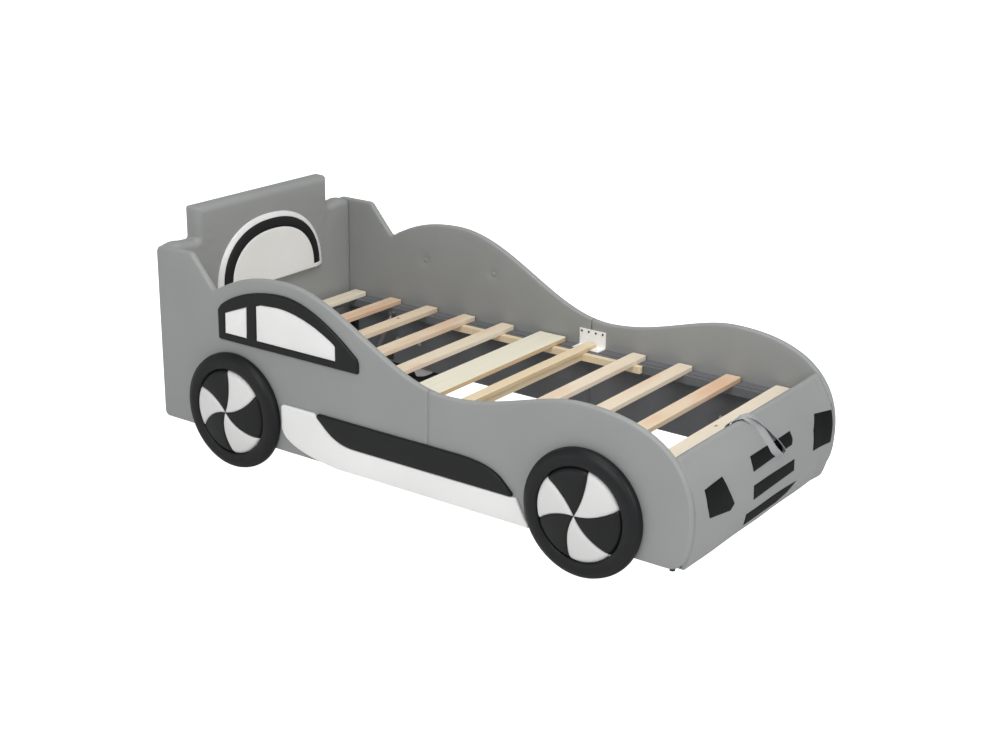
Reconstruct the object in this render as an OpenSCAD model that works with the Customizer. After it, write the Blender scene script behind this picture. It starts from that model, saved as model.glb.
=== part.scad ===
// Car bed for children: two padded side panels cut as a car's outline, a raised padded headboard,
// a rolled nose, four padded wheels that it stands on, and a slatted platform that hinges at the
// head end and is lifted at the nose by a strap, with a gas strut on each side.
// +X runs from the headboard to the nose, +Y to the car's left, +Z up; the floor is z = 0.

/* [Overall] */
// Length over the headboard's back and the nose
bed_length = 2190; // [2140:10:2260]
// Width over the outer faces of the side panels, without the wheels
bed_width = 1000; // [960:10:1060]
// Height of the headboard's top above the floor
head_height = 860; // [820:5:900]
// Height of the panels' lower edge above the floor
base_gap = 105; // [90:1:115]
// Slat top above the floor
slat_top = 380; // [372:1:388]

/* [Side panels] */
// Thickness of a side panel with its padding
wall = 25; // [22:1:30]
// Height of the side panel at the headboard
rear_height = 745; // [720:5:770]
// Height of the roof hump
hump_height = 722; // [700:2:740]
// Height of the valley behind the hump
valley_height = 630; // [610:5:650]
// Height of the low door line
dip_height = 466; // [455:1:480]
// Height of the front fender
fender_height = 560; // [540:2:580]
// From the headboard's back to the hump's top
hump_in = 595; // [565:5:625]
// From the headboard's back to the bottom of the valley
valley_in = 277; // [265:2:295]
// Place of the lowest door line, from the middle of the bed
dip_x = 170; // [150:5:200]
// From the nose to the fender's top
fender_in = 350; // [325:5:375]
// Height of the nose's foremost point
nose_height = 312; // [295:1:330]
// Set-back of the panel's toe from the nose
toe_setback = 24; // [15:1:40]
// Rounding of the panel's toe
toe_r = 26; // [15:1:40]
// Where the rear and front halves of a side panel meet
seam_x = 124; // [100:2:150]
// Board inside the padding
board_t = 15; // [12:1:18]
// Rounding of the padded edges
edge_r = 9; // [6:0.5:11]

/* [Headboard] */
// Thickness of the padded headboard
head_t = 65; // [55:1:75]
// Width of the raised middle
head_width = 700; // [640:10:760]
// Rounding of the headboard's front edge
head_roll = 26; // [15:1:30]
// Width of the rear window band
rear_window_w = 574; // [520:2:600]
// Height of the rear window band
rear_window_h = 252; // [220:2:270]
// From the headboard's top down to the window band
rear_window_drop = 88; // [70:1:100]

/* [Wheels] */
// Diameter of a padded wheel
wheel_d = 420; // [400:2:440]
// How far a wheel stands out of its side panel
wheel_out = 42; // [35:1:50]
// Diameter of the hub cushion
hub_d = 308; // [290:2:320]
// Height of the hub cushion at its rim
hub_rim = 26; // [20:1:32]
// How far the hub cushion bulges above its rim
hub_bulge = 29; // [15:1:35]
// Turn of the white blades on the rear and front wheels
blade_turn_rear = 35; // [0:1:60]
blade_turn_front = 21; // [0:1:60]
// From the headboard's back to the middle of the rear wheels
wheel_rear_in = 366; // [350:1:380]
// From the nose to the middle of the front wheels
wheel_front_in = 366; // [350:1:380]
// Depth of the flat where a tyre stands on the floor
tyre_flat = 0.5; // [0.3:0.1:1]

/* [Trim] */
// Thickness of the padded side trim
trim_t = 11; // [8:0.5:14]
// Thickness of the flat patches
patch_t = 2.5; // [2:0.5:4]
// Height of the black sill
sill_h = 91; // [80:1:100]
// Top of the sill and skirt above the floor
sill_z = 281; // [270:1:290]

/* [Platform] */
// Width of a slat
slat_w = 58; // [50:1:70]
// Thickness of a slat
slat_t = 18; // [16:0.5:20]
// Gap between a slat's end and the padding
slat_end_gap = 10; // [6:1:14]
// Slats behind the wide board
rear_slats = 5; // [4:1:6]
// Slats in front of the centre beam
front_slats = 4; // [3:1:5]
// From the headboard's face to the middle of the first slat
head_slat_gap = 64; // [60:1:72]
// From the nose's bulkhead to the middle of the last slat
nose_slat_gap = 75; // [68:1:85]
// From the middle of the wide board to the slat behind it
board_slat_gap = 202; // [190:1:215]
// From the middle of the centre beam to the slat in front of it
beam_slat_gap = 206; // [195:1:215]
// Middle of the wide board, from the middle of the bed
wide_board_x = -38; // [-46:1:-30]
// Width of the wide board
wide_board_w = 118; // [100:1:130]
// Middle of the centre beam, from the middle of the bed
beam_x = 132; // [128:1:136]
// Width of the centre beam
beam_w = 44; // [38:1:48]
// Depth of the centre beam below its upper board
beam_depth = 24; // [18:1:28]
// Width of the ledger strips that carry the slat ends
ledger_w = 50; // [40:1:55]
// Thickness of the ledger strips
ledger_t = 25; // [20:1:30]

/* [Lift] */
// Distance from the lift hinge to each end of a gas strut
strut_arm = 260; // [250:1:265]
// Angle between the two arms with the platform down
strut_angle = 50; // [48:0.5:52]
// Diameter of a strut's cylinder
strut_d = 22; // [20:1:24]
// Diameter of a strut's rod
rod_d = 10; // [8:0.5:11]
// Running clearance of a pin in its bore, on the radius
pin_clear = 0.05; // [0.02:0.01:0.1]

/* [Hidden] */
$fn = 48;

// Faces and levels that several pieces share
rear_x = -bed_length / 2;
nose_x = bed_length / 2;
outer_y = bed_width / 2;
inner_y = outer_y - wall;
head_face_x = rear_x + head_t;
hump_x = rear_x + hump_in;
valley_x = rear_x + valley_in;
fender_x = nose_x - fender_in;
wheel_rear_x = rear_x + wheel_rear_in;
wheel_front_x = nose_x - wheel_front_in;
nose_depth = 112;
nose_inner_x = nose_x - nose_depth;
wheel_r = wheel_d / 2;
wheel_z = wheel_r - tyre_flat;
slat_under = slat_top - slat_t;
slat_end_y = inner_y - slat_end_gap;
touch = 0.3;

// Colours
grey_vinyl = "#8f9391";
black_vinyl = "#2b2c2e";
white_vinyl = "#e3e3e3";
pale_vinyl = "#d3d4cf";
dark_wrap = "#54565a";
pine = "#dcc49c";
plywood = "#d9d3bb";
raw_board = "#b79a72";
steel = "#8a8d91";
white_steel = "#e6e7e6";
dark_steel = "#3c3e42";
webbing_grey = "#8c8e90";

// Points on a cubic curve from p0 towards p3, without p3 itself
function curve(p0, p1, p2, p3, n) = [
    for (i = [0:n - 1])
        let (t = i / n, s = 1 - t)
        s*s*s*p0 + 3*s*s*t*p1 + 3*s*t*t*p2 + t*t*t*p3
];

// Rounds the corner at p between its neighbours a and b
function rounded(a, p, b, r, n = 5) =
    let (
        u = (a - p) / norm(a - p),
        v = (b - p) / norm(b - p),
        half = acos(u * v) / 2,
        reach = r / tan(half),
        centre = p + (u + v) / norm(u + v) * r / sin(half),
        from = p + u * reach - centre,
        turn = cross(u, v) > 0 ? -1 : 1,
        sweep = turn * (180 - 2 * half)
    )
    [for (i = [0:n]) let (a = sweep * i / n)
        centre + [from[0]*cos(a) - from[1]*sin(a), from[0]*sin(a) + from[1]*cos(a)]];

// Moves an outline inwards; its points run anticlockwise
function inset(pts, d) = let (n = len(pts)) [
    for (i = [0:n - 1])
        let (
            e1 = pts[i] - pts[(i + n - 1) % n],
            e2 = pts[(i + 1) % n] - pts[i],
            n1 = [-e1[1], e1[0]] / norm(e1),
            n2 = [-e2[1], e2[0]] / norm(e2)
        )
        pts[i] + (n1 + n2) * d / (1 + n1 * n2)
];

// Keeps the part of an outline on one side of x = cut: side 1 keeps what is below it
function clip_x(pts, cut, side) = [
    for (i = [0:len(pts) - 1])
        let (
            p = pts[i],
            q = pts[(i + 1) % len(pts)],
            p_in = side * (p[0] - cut) <= 0,
            q_in = side * (q[0] - cut) <= 0
        )
        each concat(
            p_in ? [p] : [],
            p_in != q_in ? [p + (q - p) * (cut - p[0]) / (q[0] - p[0])] : []
        )
];

// Skins a stack of outlines that have the same count of points
module skin(rings) {
    n = len(rings[0]);
    last = len(rings) - 1;
    polyhedron(
        points = [for (ring = rings) each ring],
        faces = concat(
            [[for (i = [0:n - 1]) i]],
            [for (k = [0:last - 1], i = [0:n - 1])
                let (a = k*n + i, b = k*n + (i + 1) % n) each [[a, b + n, b], [a, a + n, b + n]]],
            [[for (i = [0:n - 1]) last*n + n - 1 - i]]
        ),
        convexity = 10
    );
}

// Depth and inset of each ring of a padded slab: it grows from y = 0 towards -Y
function slab_steps(t, back_r, front_r, n = 3) = concat(
    back_r > 0 ? [for (i = [0:n]) let (a = 90 * i / n) [back_r * (cos(a) - 1), back_r * (1 - sin(a))]] : [[0, 0]],
    [for (i = [n:-1:0]) let (a = 90 * i / n) [-t + front_r * (1 - cos(a)), front_r * (1 - sin(a))]]
);

// A padded slab with rounded edges; the outline lies in XZ
module padded_slab(pts, t, back_r, front_r) {
    skin([for (s = slab_steps(t, back_r, front_r)) [for (p = inset(pts, s[1])) [p[0], s[0], p[1]]]]);
}

// Turns an XZ outline into a plate that stands t out of the right side panel, or stands at y
module plate_at(y, t) {
    translate([0, y, 0]) rotate([90, 0, 0]) linear_extrude(t) children();
}

module on_left() {
    mirror([0, 1, 0]) children();
}

// The side panel's outline in XZ, anticlockwise from the rear bottom corner
toe_x = nose_x - toe_setback;
rear_corner = [rear_x, rear_height];
rear_top = [valley_x - 102, rear_height];
valley = [valley_x, valley_height];
hump = [hump_x, hump_height];
dip = [dip_x, dip_height];
fender = [fender_x, fender_height];
nose_tip = [nose_x, nose_height];
panel_outline = concat(
    rounded([rear_x, rear_height], [rear_x, base_gap], [toe_x, base_gap], 10, 3),
    rounded([rear_x, base_gap], [toe_x, base_gap], [toe_x + 4, nose_height], toe_r, 4),
    curve([toe_x + 2, base_gap + 50], [toe_x + 12, base_gap + 100], nose_tip - [0, 80], nose_tip, 6),
    curve(nose_tip, nose_tip + [0, 75], fender + [150, 0], fender, 16),
    curve(fender, fender - [250, 0], dip + [190, 0], dip, 12),
    curve(dip, dip - [200, 0], hump + [300, 0], hump, 16),
    curve(hump, hump - [120, 0], valley + [85, 40], valley + [22, 9], 9),
    rounded(valley + [22, 9], valley, rear_top, 14, 3),
    rounded(valley, rear_top, rear_corner, 22, 4),
    rounded(rear_top, rear_corner, [rear_x, base_gap], 24, 4)
);

// The same outline with a point where each edge crosses the seam between the two halves
seamed_outline = [
    for (i = [0:len(panel_outline) - 1])
        let (p = panel_outline[i], q = panel_outline[(i + 1) % len(panel_outline)])
        each concat(
            [p],
            (p[0] - seam_x) * (q[0] - seam_x) < 0 ? [p + (q - p) * (seam_x - p[0]) / (q[0] - p[0])] : []
        )
];
seam_points = [for (i = [0:len(seamed_outline) - 1]) if (abs(seamed_outline[i][0] - seam_x) < 0.001) i];

// One half of a ring of the side panel, closed along the seam; end is "rear" or "front"
function half_ring(d, end) =
    let (
        pts = inset(seamed_outline, d),
        n = len(pts),
        front = end == "front",
        half = front
            ? [for (i = [seam_points[0]:seam_points[1]]) pts[i]]
            : concat([for (i = [seam_points[1]:n - 1]) pts[i]], [for (i = [0:seam_points[0]]) pts[i]]),
        last = len(half) - 1,
        x = seam_x + (front ? 1 : -1) * touch / 2
    )
    [for (i = [0:last]) i == 0 || i == last ? [x, half[i][1]] : half[i]];

// Side panels, each in two halves: a board wrapped in foam and vinyl
board_inset = 8;
pad_t = (wall - board_t) / 2;

module board_shape(end) {
    plate_at(-inner_y - pad_t, board_t) polygon(half_ring(board_inset, end));
}

module side_board(end) {
    color(raw_board) difference() {
        board_shape(end);
        panel_screw_holes();
        wheel_bolt_holes();
    }
}

module side_cover(end) {
    color(grey_vinyl) difference() {
        translate([0, -inner_y, 0])
            skin([for (s = slab_steps(wall, edge_r, edge_r))
                [for (p = half_ring(s[1], end)) [p[0], s[0], p[1]]]]);
        board_shape(end);
        panel_screw_holes();
        wheel_bolt_holes();
    }
}

// Headboard: one board across the bed with a raised middle, wrapped in thick foam
head_half = inner_y - touch;
head_board_t = 18;
head_board_inset = 14;
wing_height = rear_height - 3;

// The outline in YZ; spill carries the wings and the foot past the ends, where nothing is rolled
function head_outline(spill) =
    let (
        out = head_half + spill,
        foot = base_gap - spill,
        up = head_width / 2
    )
    concat(
        rounded([up, wing_height], [up, head_height], [-up, head_height], head_roll + 4, 5),
        rounded([up, head_height], [-up, head_height], [-up, wing_height], head_roll + 4, 5),
        rounded([-up, head_height], [-up, wing_height], [-out, wing_height], 12, 3),
        [[-out, wing_height], [-out, foot], [out, foot], [out, wing_height]],
        rounded([out, wing_height], [up, wing_height], [up, head_height], 12, 3)
    );

module across(x) {
    translate([x, 0, 0]) rotate([0, 0, 90]) children();
}

module head_board_shape() {
    across(rear_x + 8) plate_at(0, head_board_t) polygon(inset(head_outline(0), head_board_inset));
}

module headboard_panel() {
    color(raw_board) difference() {
        head_board_shape();
        end_screw_holes();
    }
}

module headboard_cover() {
    color(grey_vinyl) difference() {
        across(rear_x) skin([for (s = slab_steps(head_t, 8, head_roll))
            [for (p = inset(head_outline(60), s[1]))
                [min(max(p[0], -head_half), head_half), s[0], max(p[1], base_gap)]]]);
        head_board_shape();
        end_screw_holes();
    }
}

// Rear window on the headboard: white band, black arch and pale pane
function arch_points(w, h, z, power, n = 24) = concat(
    [for (i = [0:n]) let (a = 180 * i / n, c = cos(a), s = sin(a))
        [w / 2 * sign(c) * pow(abs(c), 2 / power), z + h * pow(s, 2 / power)]]
);
arch_power = 2.25;
window_y = 10;
rear_window_z = head_height - rear_window_drop - rear_window_h;
band_w = 21;
arch_foot_w = 26;
arch_top_w = 37;
band_sill = 10;

module window_shape(w, h, z) {
    translate([window_y, 0]) polygon(arch_points(w, h, z, arch_power));
}
module pane_shape() {
    window_shape(rear_window_w - 2 * (band_w + arch_foot_w), rear_window_h - band_w - arch_top_w - band_sill,
        rear_window_z + band_sill);
}
module arch_shape() {
    window_shape(rear_window_w - 2 * band_w, rear_window_h - band_w - band_sill, rear_window_z + band_sill);
}

module headboard_band() {
    color(white_vinyl) across(head_face_x) plate_at(0, patch_t) difference() {
        window_shape(rear_window_w, rear_window_h, rear_window_z);
        arch_shape();
    }
}
module headboard_arch() {
    color(black_vinyl) across(head_face_x) plate_at(0, patch_t) difference() {
        arch_shape();
        pane_shape();
    }
}
module headboard_pane() {
    color(pale_vinyl) across(head_face_x) plate_at(0, patch_t) pane_shape();
}

// Nose: ribs and a bulkhead inside a rolled and padded skin, between the side panels
nose_half = inner_y - touch;
nose_set_in = 6;
nose_skin_t = 12;
nose_crest_r = 16;
rib_t = 15;

module nose_section(d) {
    offset(r = nose_crest_r) offset(delta = -nose_crest_r - d)
        polygon(clip_x(inset(panel_outline, nose_set_in), nose_inner_x, -1));
}

module nose_frame() {
    color(raw_board) difference() {
        union() {
            for (y = [-1, -1/3, 1/3, 1])
                plate_at(y * (nose_half - 40) + rib_t / 2, rib_t) nose_section(nose_skin_t);
            intersection() {
                plate_at(nose_half, 2 * nose_half) nose_section(nose_skin_t);
                translate([nose_inner_x, -nose_half, 0])
                    cube([nose_skin_t + rib_t, 2 * nose_half, nose_height * 2]);
            }
        }
        end_screw_holes();
    }
}

module nose_cover() {
    color(grey_vinyl) difference() {
        plate_at(nose_half, 2 * nose_half) difference() {
            nose_section(0);
            nose_section(nose_skin_t);
        }
        end_screw_holes();
    }
}

// Flat patches sewn on the nose: two lamps and three grille bars, each bent to the nose's curve
module nose_patch(pts) {
    intersection() {
        plate_at(nose_half, 2 * nose_half) difference() {
            offset(delta = patch_t) nose_section(0);
            nose_section(0);
        }
        translate([nose_inner_x + 40, 0, 0]) rotate([90, 0, 90]) linear_extrude(nose_depth) polygon(pts);
    }
}
lamp_right = [[-410, 337], [-388, 246], [-236, 222], [-217, 235], [-305, 353]];
lamp_left = [[323, 365], [342, 229], [495, 230], [457, 342]];
bar_upper = [[-125, 359], [-100, 303], [175, 303], [148, 359]];
bar_middle = [[-92, 254], [-92, 209], [194, 209], [194, 254]];
bar_lower = [[-138, 170], [-146, 142], [140, 142], [215, 166]];

module headlight_patches() {
    color(black_vinyl) {
        nose_patch(lamp_right);
        nose_patch(lamp_left);
    }
}
module grille_bars() {
    color(black_vinyl) for (bar = [bar_upper, bar_middle, bar_lower]) nose_patch(bar);
}

// Wheels: a padded tyre round a domed hub with three white blades, bolted to the side panel
hub_r = hub_d / 2;
hub_gap = 0.5;
dome_r = (hub_r * hub_r + hub_bulge * hub_bulge) / (2 * hub_bulge);
dome_z = hub_rim + hub_bulge - dome_r;
blade_t = 1.5;
blade_span = 58;
blade_twist = 14;
bolt_r = 4;
bolt_spread = 55;
bolt_into_hub = 20;
hole_gap = 0.15;

module wheel_at(x) {
    translate([x, -outer_y, wheel_z]) rotate([90, 0, 0]) children();
}

module tyre(x) {
    inner = hub_r + hub_gap;
    color(black_vinyl) difference() {
        wheel_at(x) rotate_extrude($fn = 72) polygon(concat(
            [[inner, 0], [wheel_r - 6, 0]],
            curve([wheel_r - 6, 0], [wheel_r - 2, 0], [wheel_r, 4], [wheel_r, 12], 3),
            curve([wheel_r, 12], [wheel_r, wheel_out - 6], [wheel_r - 12, wheel_out], [wheel_r - 26, wheel_out], 6),
            curve([wheel_r - 26, wheel_out], [inner + 12, wheel_out], [inner, wheel_out - 4], [inner, hub_rim - 4], 6),
            [[inner, hub_rim - 4]]
        ));
        translate([x - wheel_d, -outer_y - wheel_d, -wheel_d]) cube([2 * wheel_d, 2 * wheel_d, wheel_d]);
    }
}

module hub_dome(grow) {
    translate([0, 0, dome_z]) sphere(r = dome_r + grow, $fn = 160);
}

module hub(x) {
    color(black_vinyl) difference() {
        wheel_at(x) intersection() {
            cylinder(r = hub_r, h = hub_rim + hub_bulge + 1, $fn = 96);
            hub_dome(0);
        }
        wheel_bolt_holes();
    }
}

// A blade's edge turns with the radius; the angle is the one that it has at the rim
function blade_edge(angle, r, n = 6) = [
    for (i = [1:n]) let (t = i / n, a = angle - blade_twist * (1 - t)) [r * t * cos(a), r * t * sin(a)]
];
function blade_points(angle, r, n = 6) = concat(
    [[0, 0]],
    blade_edge(angle, r, n),
    [for (i = [1:7]) let (a = angle + blade_span * i / 8) [r * cos(a), r * sin(a)]],
    [for (i = [n - 1:-1:0]) blade_edge(angle + blade_span, r, n)[i]]
);

module blades(x, turn) {
    color(white_vinyl) wheel_at(x) intersection() {
        difference() {
            hub_dome(blade_t);
            hub_dome(0);
        }
        translate([0, 0, hub_rim - 2]) linear_extrude(hub_bulge + 6)
            for (k = [0:2]) polygon(blade_points(turn + 120 * k, hub_r - 1));
    }
}

// Bolts that hold the wheels: heads on the inside of the side panel, threads in the hub
module wheel_bolt_places() {
    for (side = [0, 1], x = [wheel_rear_x, wheel_front_x], dx = [-1, 1])
        mirror([0, side, 0]) translate([x + dx * bolt_spread, -inner_y, wheel_z]) rotate([90, 0, 0]) children();
}
module wheel_bolt_holes() {
    wheel_bolt_places() translate([0, 0, -1])
        cylinder(r = bolt_r + hole_gap, h = wall + bolt_into_hub + 1.5, $fn = 16);
}
module wheel_bolts() {
    color(steel) wheel_bolt_places() {
        cylinder(r = bolt_r, h = wall + bolt_into_hub, $fn = 16);
        translate([0, 0, -1.5]) cylinder(r = bolt_r * 2.2, h = 1.5, $fn = 24);
        translate([0, 0, -6.5]) cylinder(r = bolt_r * 1.7, h = 5, $fn = 6);
    }
}

// Side windows: a black padded frame with two white panes, placed from the hump's top
function by_hump(pts) = [for (p = pts) p + hump];
frame_left = -309;
frame_right = 323;
frame_sill = -259;
frame_top = -51;
frame_outline = by_hump(concat(
    rounded([frame_left, -144], [frame_left, frame_sill], [frame_right, frame_sill], 8, 2),
    rounded([frame_left, frame_sill], [frame_right, frame_sill], [frame_right, -211], 8, 2),
    [[frame_right, -222]],
    curve([frame_right - 6, -208], [frame_right - 105, -122], [95, frame_top], [-15, frame_top], 12),
    curve([-15, frame_top], [-115, frame_top], [-235, -82], [frame_left + 6, -140], 8),
    [[frame_left, -152]]
));
pane_sill = frame_sill + 25;
pane_rear = by_hump([[-278, pane_sill], [-176, pane_sill], [-172, -120], [-276, -160]]);
pane_front = by_hump(concat(
    [[-130, pane_sill], [225, pane_sill], [225, -183]],
    curve([220, -177], [150, -134], [60, -98], [-30, -97], 7),
    [[-30, -97], [-105, -101], [-128, -109]]
));

module window_frame() {
    color(black_vinyl) difference() {
        translate([0, -outer_y, 0]) padded_slab(frame_outline, trim_t, 0, 7);
        plate_at(-outer_y + 1, trim_t + 2) {
            offset(delta = touch) polygon(pane_rear);
            offset(delta = touch) polygon(pane_front);
        }
    }
}
module window_panes() {
    color(white_vinyl) plate_at(-outer_y, trim_t - 4) {
        polygon(pane_rear);
        polygon(pane_front);
    }
}

// White skirt between the wheels, and the black sill above it
skirt_rear = wheel_rear_x + wheel_r + 0.5;
skirt_front = wheel_front_x - wheel_r + 2;
sill_rear = skirt_rear + 154.5;
sill_tip = skirt_front - 63;
sill_base = sill_z - sill_h;
trim_gap = 1;
function sill_curve(d) = [for (p = curve([33, 57], [64, 28], [102, 0], [174, 0], 7))
    [sill_rear + p[0] - d, sill_base + p[1] - d]];
sill_outline = concat(
    sill_curve(0),
    [[sill_rear + 174, sill_base], [0, sill_base]],
    rounded([0, sill_base], [sill_tip, sill_base], [sill_tip - 56, sill_base + 52], 7, 4),
    curve([sill_tip - 56, sill_base + 52], [sill_tip - 98, sill_z - 9], [sill_tip - 158, sill_z],
        [sill_tip - 243, sill_z], 6),
    [[sill_tip - 243, sill_z]],
    rounded([sill_tip - 243, sill_z], [sill_rear - 6, sill_z], sill_curve(0)[0], 8, 4)
);
skirt_base = base_gap + 2;
skirt_outline = concat(
    [[skirt_rear + 118.5, skirt_base], [skirt_front, skirt_base], [skirt_front - 3, skirt_base + 12]],
    curve([skirt_front - 16, skirt_base + 25], [skirt_front - 31, skirt_base + 49],
        [skirt_front - 45, sill_base - 18], [skirt_front - 58, sill_base - trim_gap], 4),
    [[sill_tip - 14, sill_base - trim_gap], [sill_rear + 174 - trim_gap, sill_base - trim_gap]],
    [for (i = [6:-1:0]) sill_curve(trim_gap)[i]],
    [[sill_rear - 8, sill_z - 1], [skirt_rear + 8, sill_z - 1], [skirt_rear, sill_z - 9]],
    curve([skirt_rear, sill_base + 6], [skirt_rear + 3, sill_base - 18], [skirt_rear + 43.5, skirt_base + 43],
        [skirt_rear + 118.5, skirt_base], 6)
);

module skirt() {
    color(white_vinyl) translate([0, -outer_y, 0]) padded_slab(skirt_outline, trim_t, 0, 5);
}
module sill() {
    color(black_vinyl) translate([0, -outer_y, 0]) padded_slab(sill_outline, trim_t + 3, 0, 6);
}

// Ledger strips along the side panels, under the slat ends
ledger_rear = head_face_x + 2;
ledger_front = nose_inner_x - 2;
ledger_in = inner_y - ledger_w;

module ledger() {
    color(dark_wrap) difference() {
        translate([ledger_rear, -inner_y, slat_under - ledger_t])
            cube([ledger_front - ledger_rear, ledger_w, ledger_t]);
        panel_screw_holes();
        hinge_screw_holes();
    }
}

// White steel angles that join the two halves of each side panel and carry the centre beam
angle_t = 3;
angle_l = 112;
angle_h = 64;

module seam_bracket() {
    translate([beam_x - angle_l / 2, -inner_y, slat_under]) {
        cube([angle_l, angle_t, angle_h]);
        cube([angle_l, ledger_w, angle_t]);
    }
}
module seam_brackets() {
    color(white_steel) for (side = [0, 1]) mirror([0, side, 0]) difference() {
        seam_bracket();
        panel_screw_holes();
    }
}

// Dark steel angles in the four corners, below the slats
corner_h = 60;
corner_leg = 42;
corner_z = 190;

module corner_angle(x) {
    translate([x, -inner_y, corner_z]) {
        cube([corner_leg, angle_t, corner_h]);
        cube([angle_t, corner_leg, corner_h]);
    }
}
module corner_brackets() {
    color(dark_steel) for (side = [0, 1]) mirror([0, side, 0]) difference() {
        union() {
            corner_angle(head_face_x);
            mirror([1, 0, 0]) corner_angle(-nose_inner_x);
        }
        panel_screw_holes();
        end_screw_holes();
    }
}

// Lift: the hinge's axis, and the strut's ends on the side panel and on the rail, in XZ
hinge = [head_face_x + 27, slat_under - 19];
hinge_plate_t = 3;
hinge_pin_r = 6;
rail_w = 18;
rail_y = ledger_in - rail_w - 5;
rail_h = 30;
rail_wall = 2;
rail_rear = hinge[0] - 12;
rail_front = nose_inner_x - 53;
strut_y = rail_y - 16;
eye_t = 8;
eye_r = 9;
stud_r = 4;
stud_out = strut_y - eye_t / 2 - 3.5;
strut_a = hinge + strut_arm * [cos(strut_angle), -sin(strut_angle)];
strut_b = hinge + [strut_arm, 0];
strut_dir = atan2(strut_b[1] - strut_a[1], strut_b[0] - strut_a[0]);
strut_len = norm(strut_b - strut_a);
cylinder_len = 0.855 * strut_len;
rod_len = 0.873 * strut_len;
piston_l = 12;

// Screws that hold the frame together
screw_r = 2.5;
screw_head_r = 4.5;
screw_head_h = 2;
board_grip = 17;
corner_zs = [corner_z + 15, corner_z + 45];
base_plate = 56;
base_plate_t = 4;

ledger_screw_xs = [head_face_x + 130, hump_x - 20, hump_x + 300, dip_x + 250, nose_inner_x - 183];

// Place on the right side panel, and the height of the head's seat above its inner face
panel_screws = concat(
    [for (dx = [-47, -17, 13, 43]) [beam_x + dx, slat_under + 54, angle_t]],
    [for (x = ledger_screw_xs) [x, slat_under - ledger_t / 2, ledger_w]],
    [for (x = [head_face_x + 28, nose_inner_x - 28], z = corner_zs) [x, z, angle_t]],
    [for (dx = [-20, 20]) [strut_a[0] + dx, strut_a[1], base_plate_t]]
);

module screw_shape(grip, r = screw_r) {
    translate([0, 0, -grip]) cylinder(r = r, h = grip, $fn = 12);
}
module panel_screw_places() {
    for (side = [0, 1], s = panel_screws)
        mirror([0, side, 0]) translate([s[0], -inner_y, s[1]]) rotate([-90, 0, 0]) {
            $seat = s[2];
            translate([0, 0, s[2]]) children();
        }
}
module panel_screw_holes() {
    panel_screw_places() translate([0, 0, 0.5]) screw_shape($seat + board_grip + 1, screw_r + hole_gap);
}
module end_screw_places() {
    for (side = [0, 1], z = corner_zs) mirror([0, side, 0]) {
        translate([head_face_x + angle_t, -inner_y + 28, z]) rotate([0, 90, 0]) {
            $seat = head_t - 14;
            children();
        }
        translate([nose_inner_x - angle_t, -inner_y + 28, z]) rotate([0, -90, 0]) {
            $seat = angle_t + nose_skin_t + 12;
            children();
        }
    }
}
module end_screw_holes() {
    end_screw_places() translate([0, 0, 0.5]) screw_shape($seat + 1, screw_r + hole_gap);
}
module hinge_screw_places() {
    for (side = [0, 1], dx = [-16, 16]) mirror([0, side, 0])
        translate([hinge[0] + dx, -ledger_in + hinge_plate_t, hinge[1] + 8]) rotate([-90, 0, 0]) children();
}
module hinge_screw_holes() {
    hinge_screw_places() {
        translate([0, 0, 0.5]) screw_shape(26, 2 + hole_gap);
        translate([0, 0, -1.6]) cylinder(r = 4.2, h = 3, $fn = 16);
    }
}
module frame_screws() {
    color(steel) {
        panel_screw_places() {
            screw_shape($seat + board_grip);
            cylinder(r = screw_head_r, h = screw_head_h, $fn = 16);
        }
        end_screw_places() {
            screw_shape($seat);
            cylinder(r = screw_head_r, h = screw_head_h, $fn = 16);
        }
        hinge_screw_places() {
            screw_shape(25, 2);
            translate([0, 0, -1.6]) cylinder(r = 4, h = 1.6, $fn = 16);
        }
    }
}

// Buttons tufted on the inner faces of the roof humps
module tuft_buttons() {
    color(grey_vinyl) for (side = [0, 1], at = by_hump([[-146, -166], [177, -165]]))
        mirror([0, side, 0]) translate([at[0], -inner_y, at[1]]) rotate([-90, 0, 0])
            rotate_extrude($fn = 24) polygon([[0, 0], [9, 0], [9, 1.5], [7.5, 3], [4.5, 4], [0, 4.4]]);
}

// Glides under the toes of the side panels
module nose_glides() {
    color(dark_steel) for (y = [-1, 1])
        translate([toe_x - toe_r - 10, y * (outer_y - wall / 2), base_gap - 7]) cylinder(r = 9, h = 7, $fn = 24);
}

// Hinge plates: a pin on each ledger carries the rear end of a rail
module hinge_plate() {
    color(dark_steel) difference() {
        union() {
            translate([hinge[0] - 23, -ledger_in, slat_under - 23]) cube([46, hinge_plate_t, 22]);
            translate([hinge[0], -ledger_in, hinge[1]]) rotate([-90, 0, 0]) {
                cylinder(r = hinge_pin_r, h = ledger_in - rail_y + 6, $fn = 32);
                translate([0, 0, ledger_in - rail_y + 3]) cylinder(r = hinge_pin_r + 3, h = 3, $fn = 32);
            }
        }
        hinge_screw_holes();
    }
}

// A stud that points inwards, with a shoulder and a retaining head on each side of a strut's eye
module stud(from_y, seat = 0) {
    shoulder = from_y - strut_y - eye_t / 2 - 1.5;
    translate([0, 0, seat]) {
        cylinder(r = 7, h = shoulder - seat, $fn = 24);
        cylinder(r = stud_r, h = from_y - stud_out + 1 - seat, $fn = 24);
    }
    translate([0, 0, from_y - stud_out]) cylinder(r = 7, h = 3, $fn = 24);
}

module strut_base() {
    color(dark_steel) difference() {
        union() {
            translate([strut_a[0] - base_plate / 2, -inner_y, strut_a[1] - base_plate / 2])
                cube([base_plate, base_plate_t, base_plate]);
            translate([strut_a[0], -inner_y, strut_a[1]]) rotate([-90, 0, 0]) stud(inner_y);
        }
        panel_screw_holes();
    }
}

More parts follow.
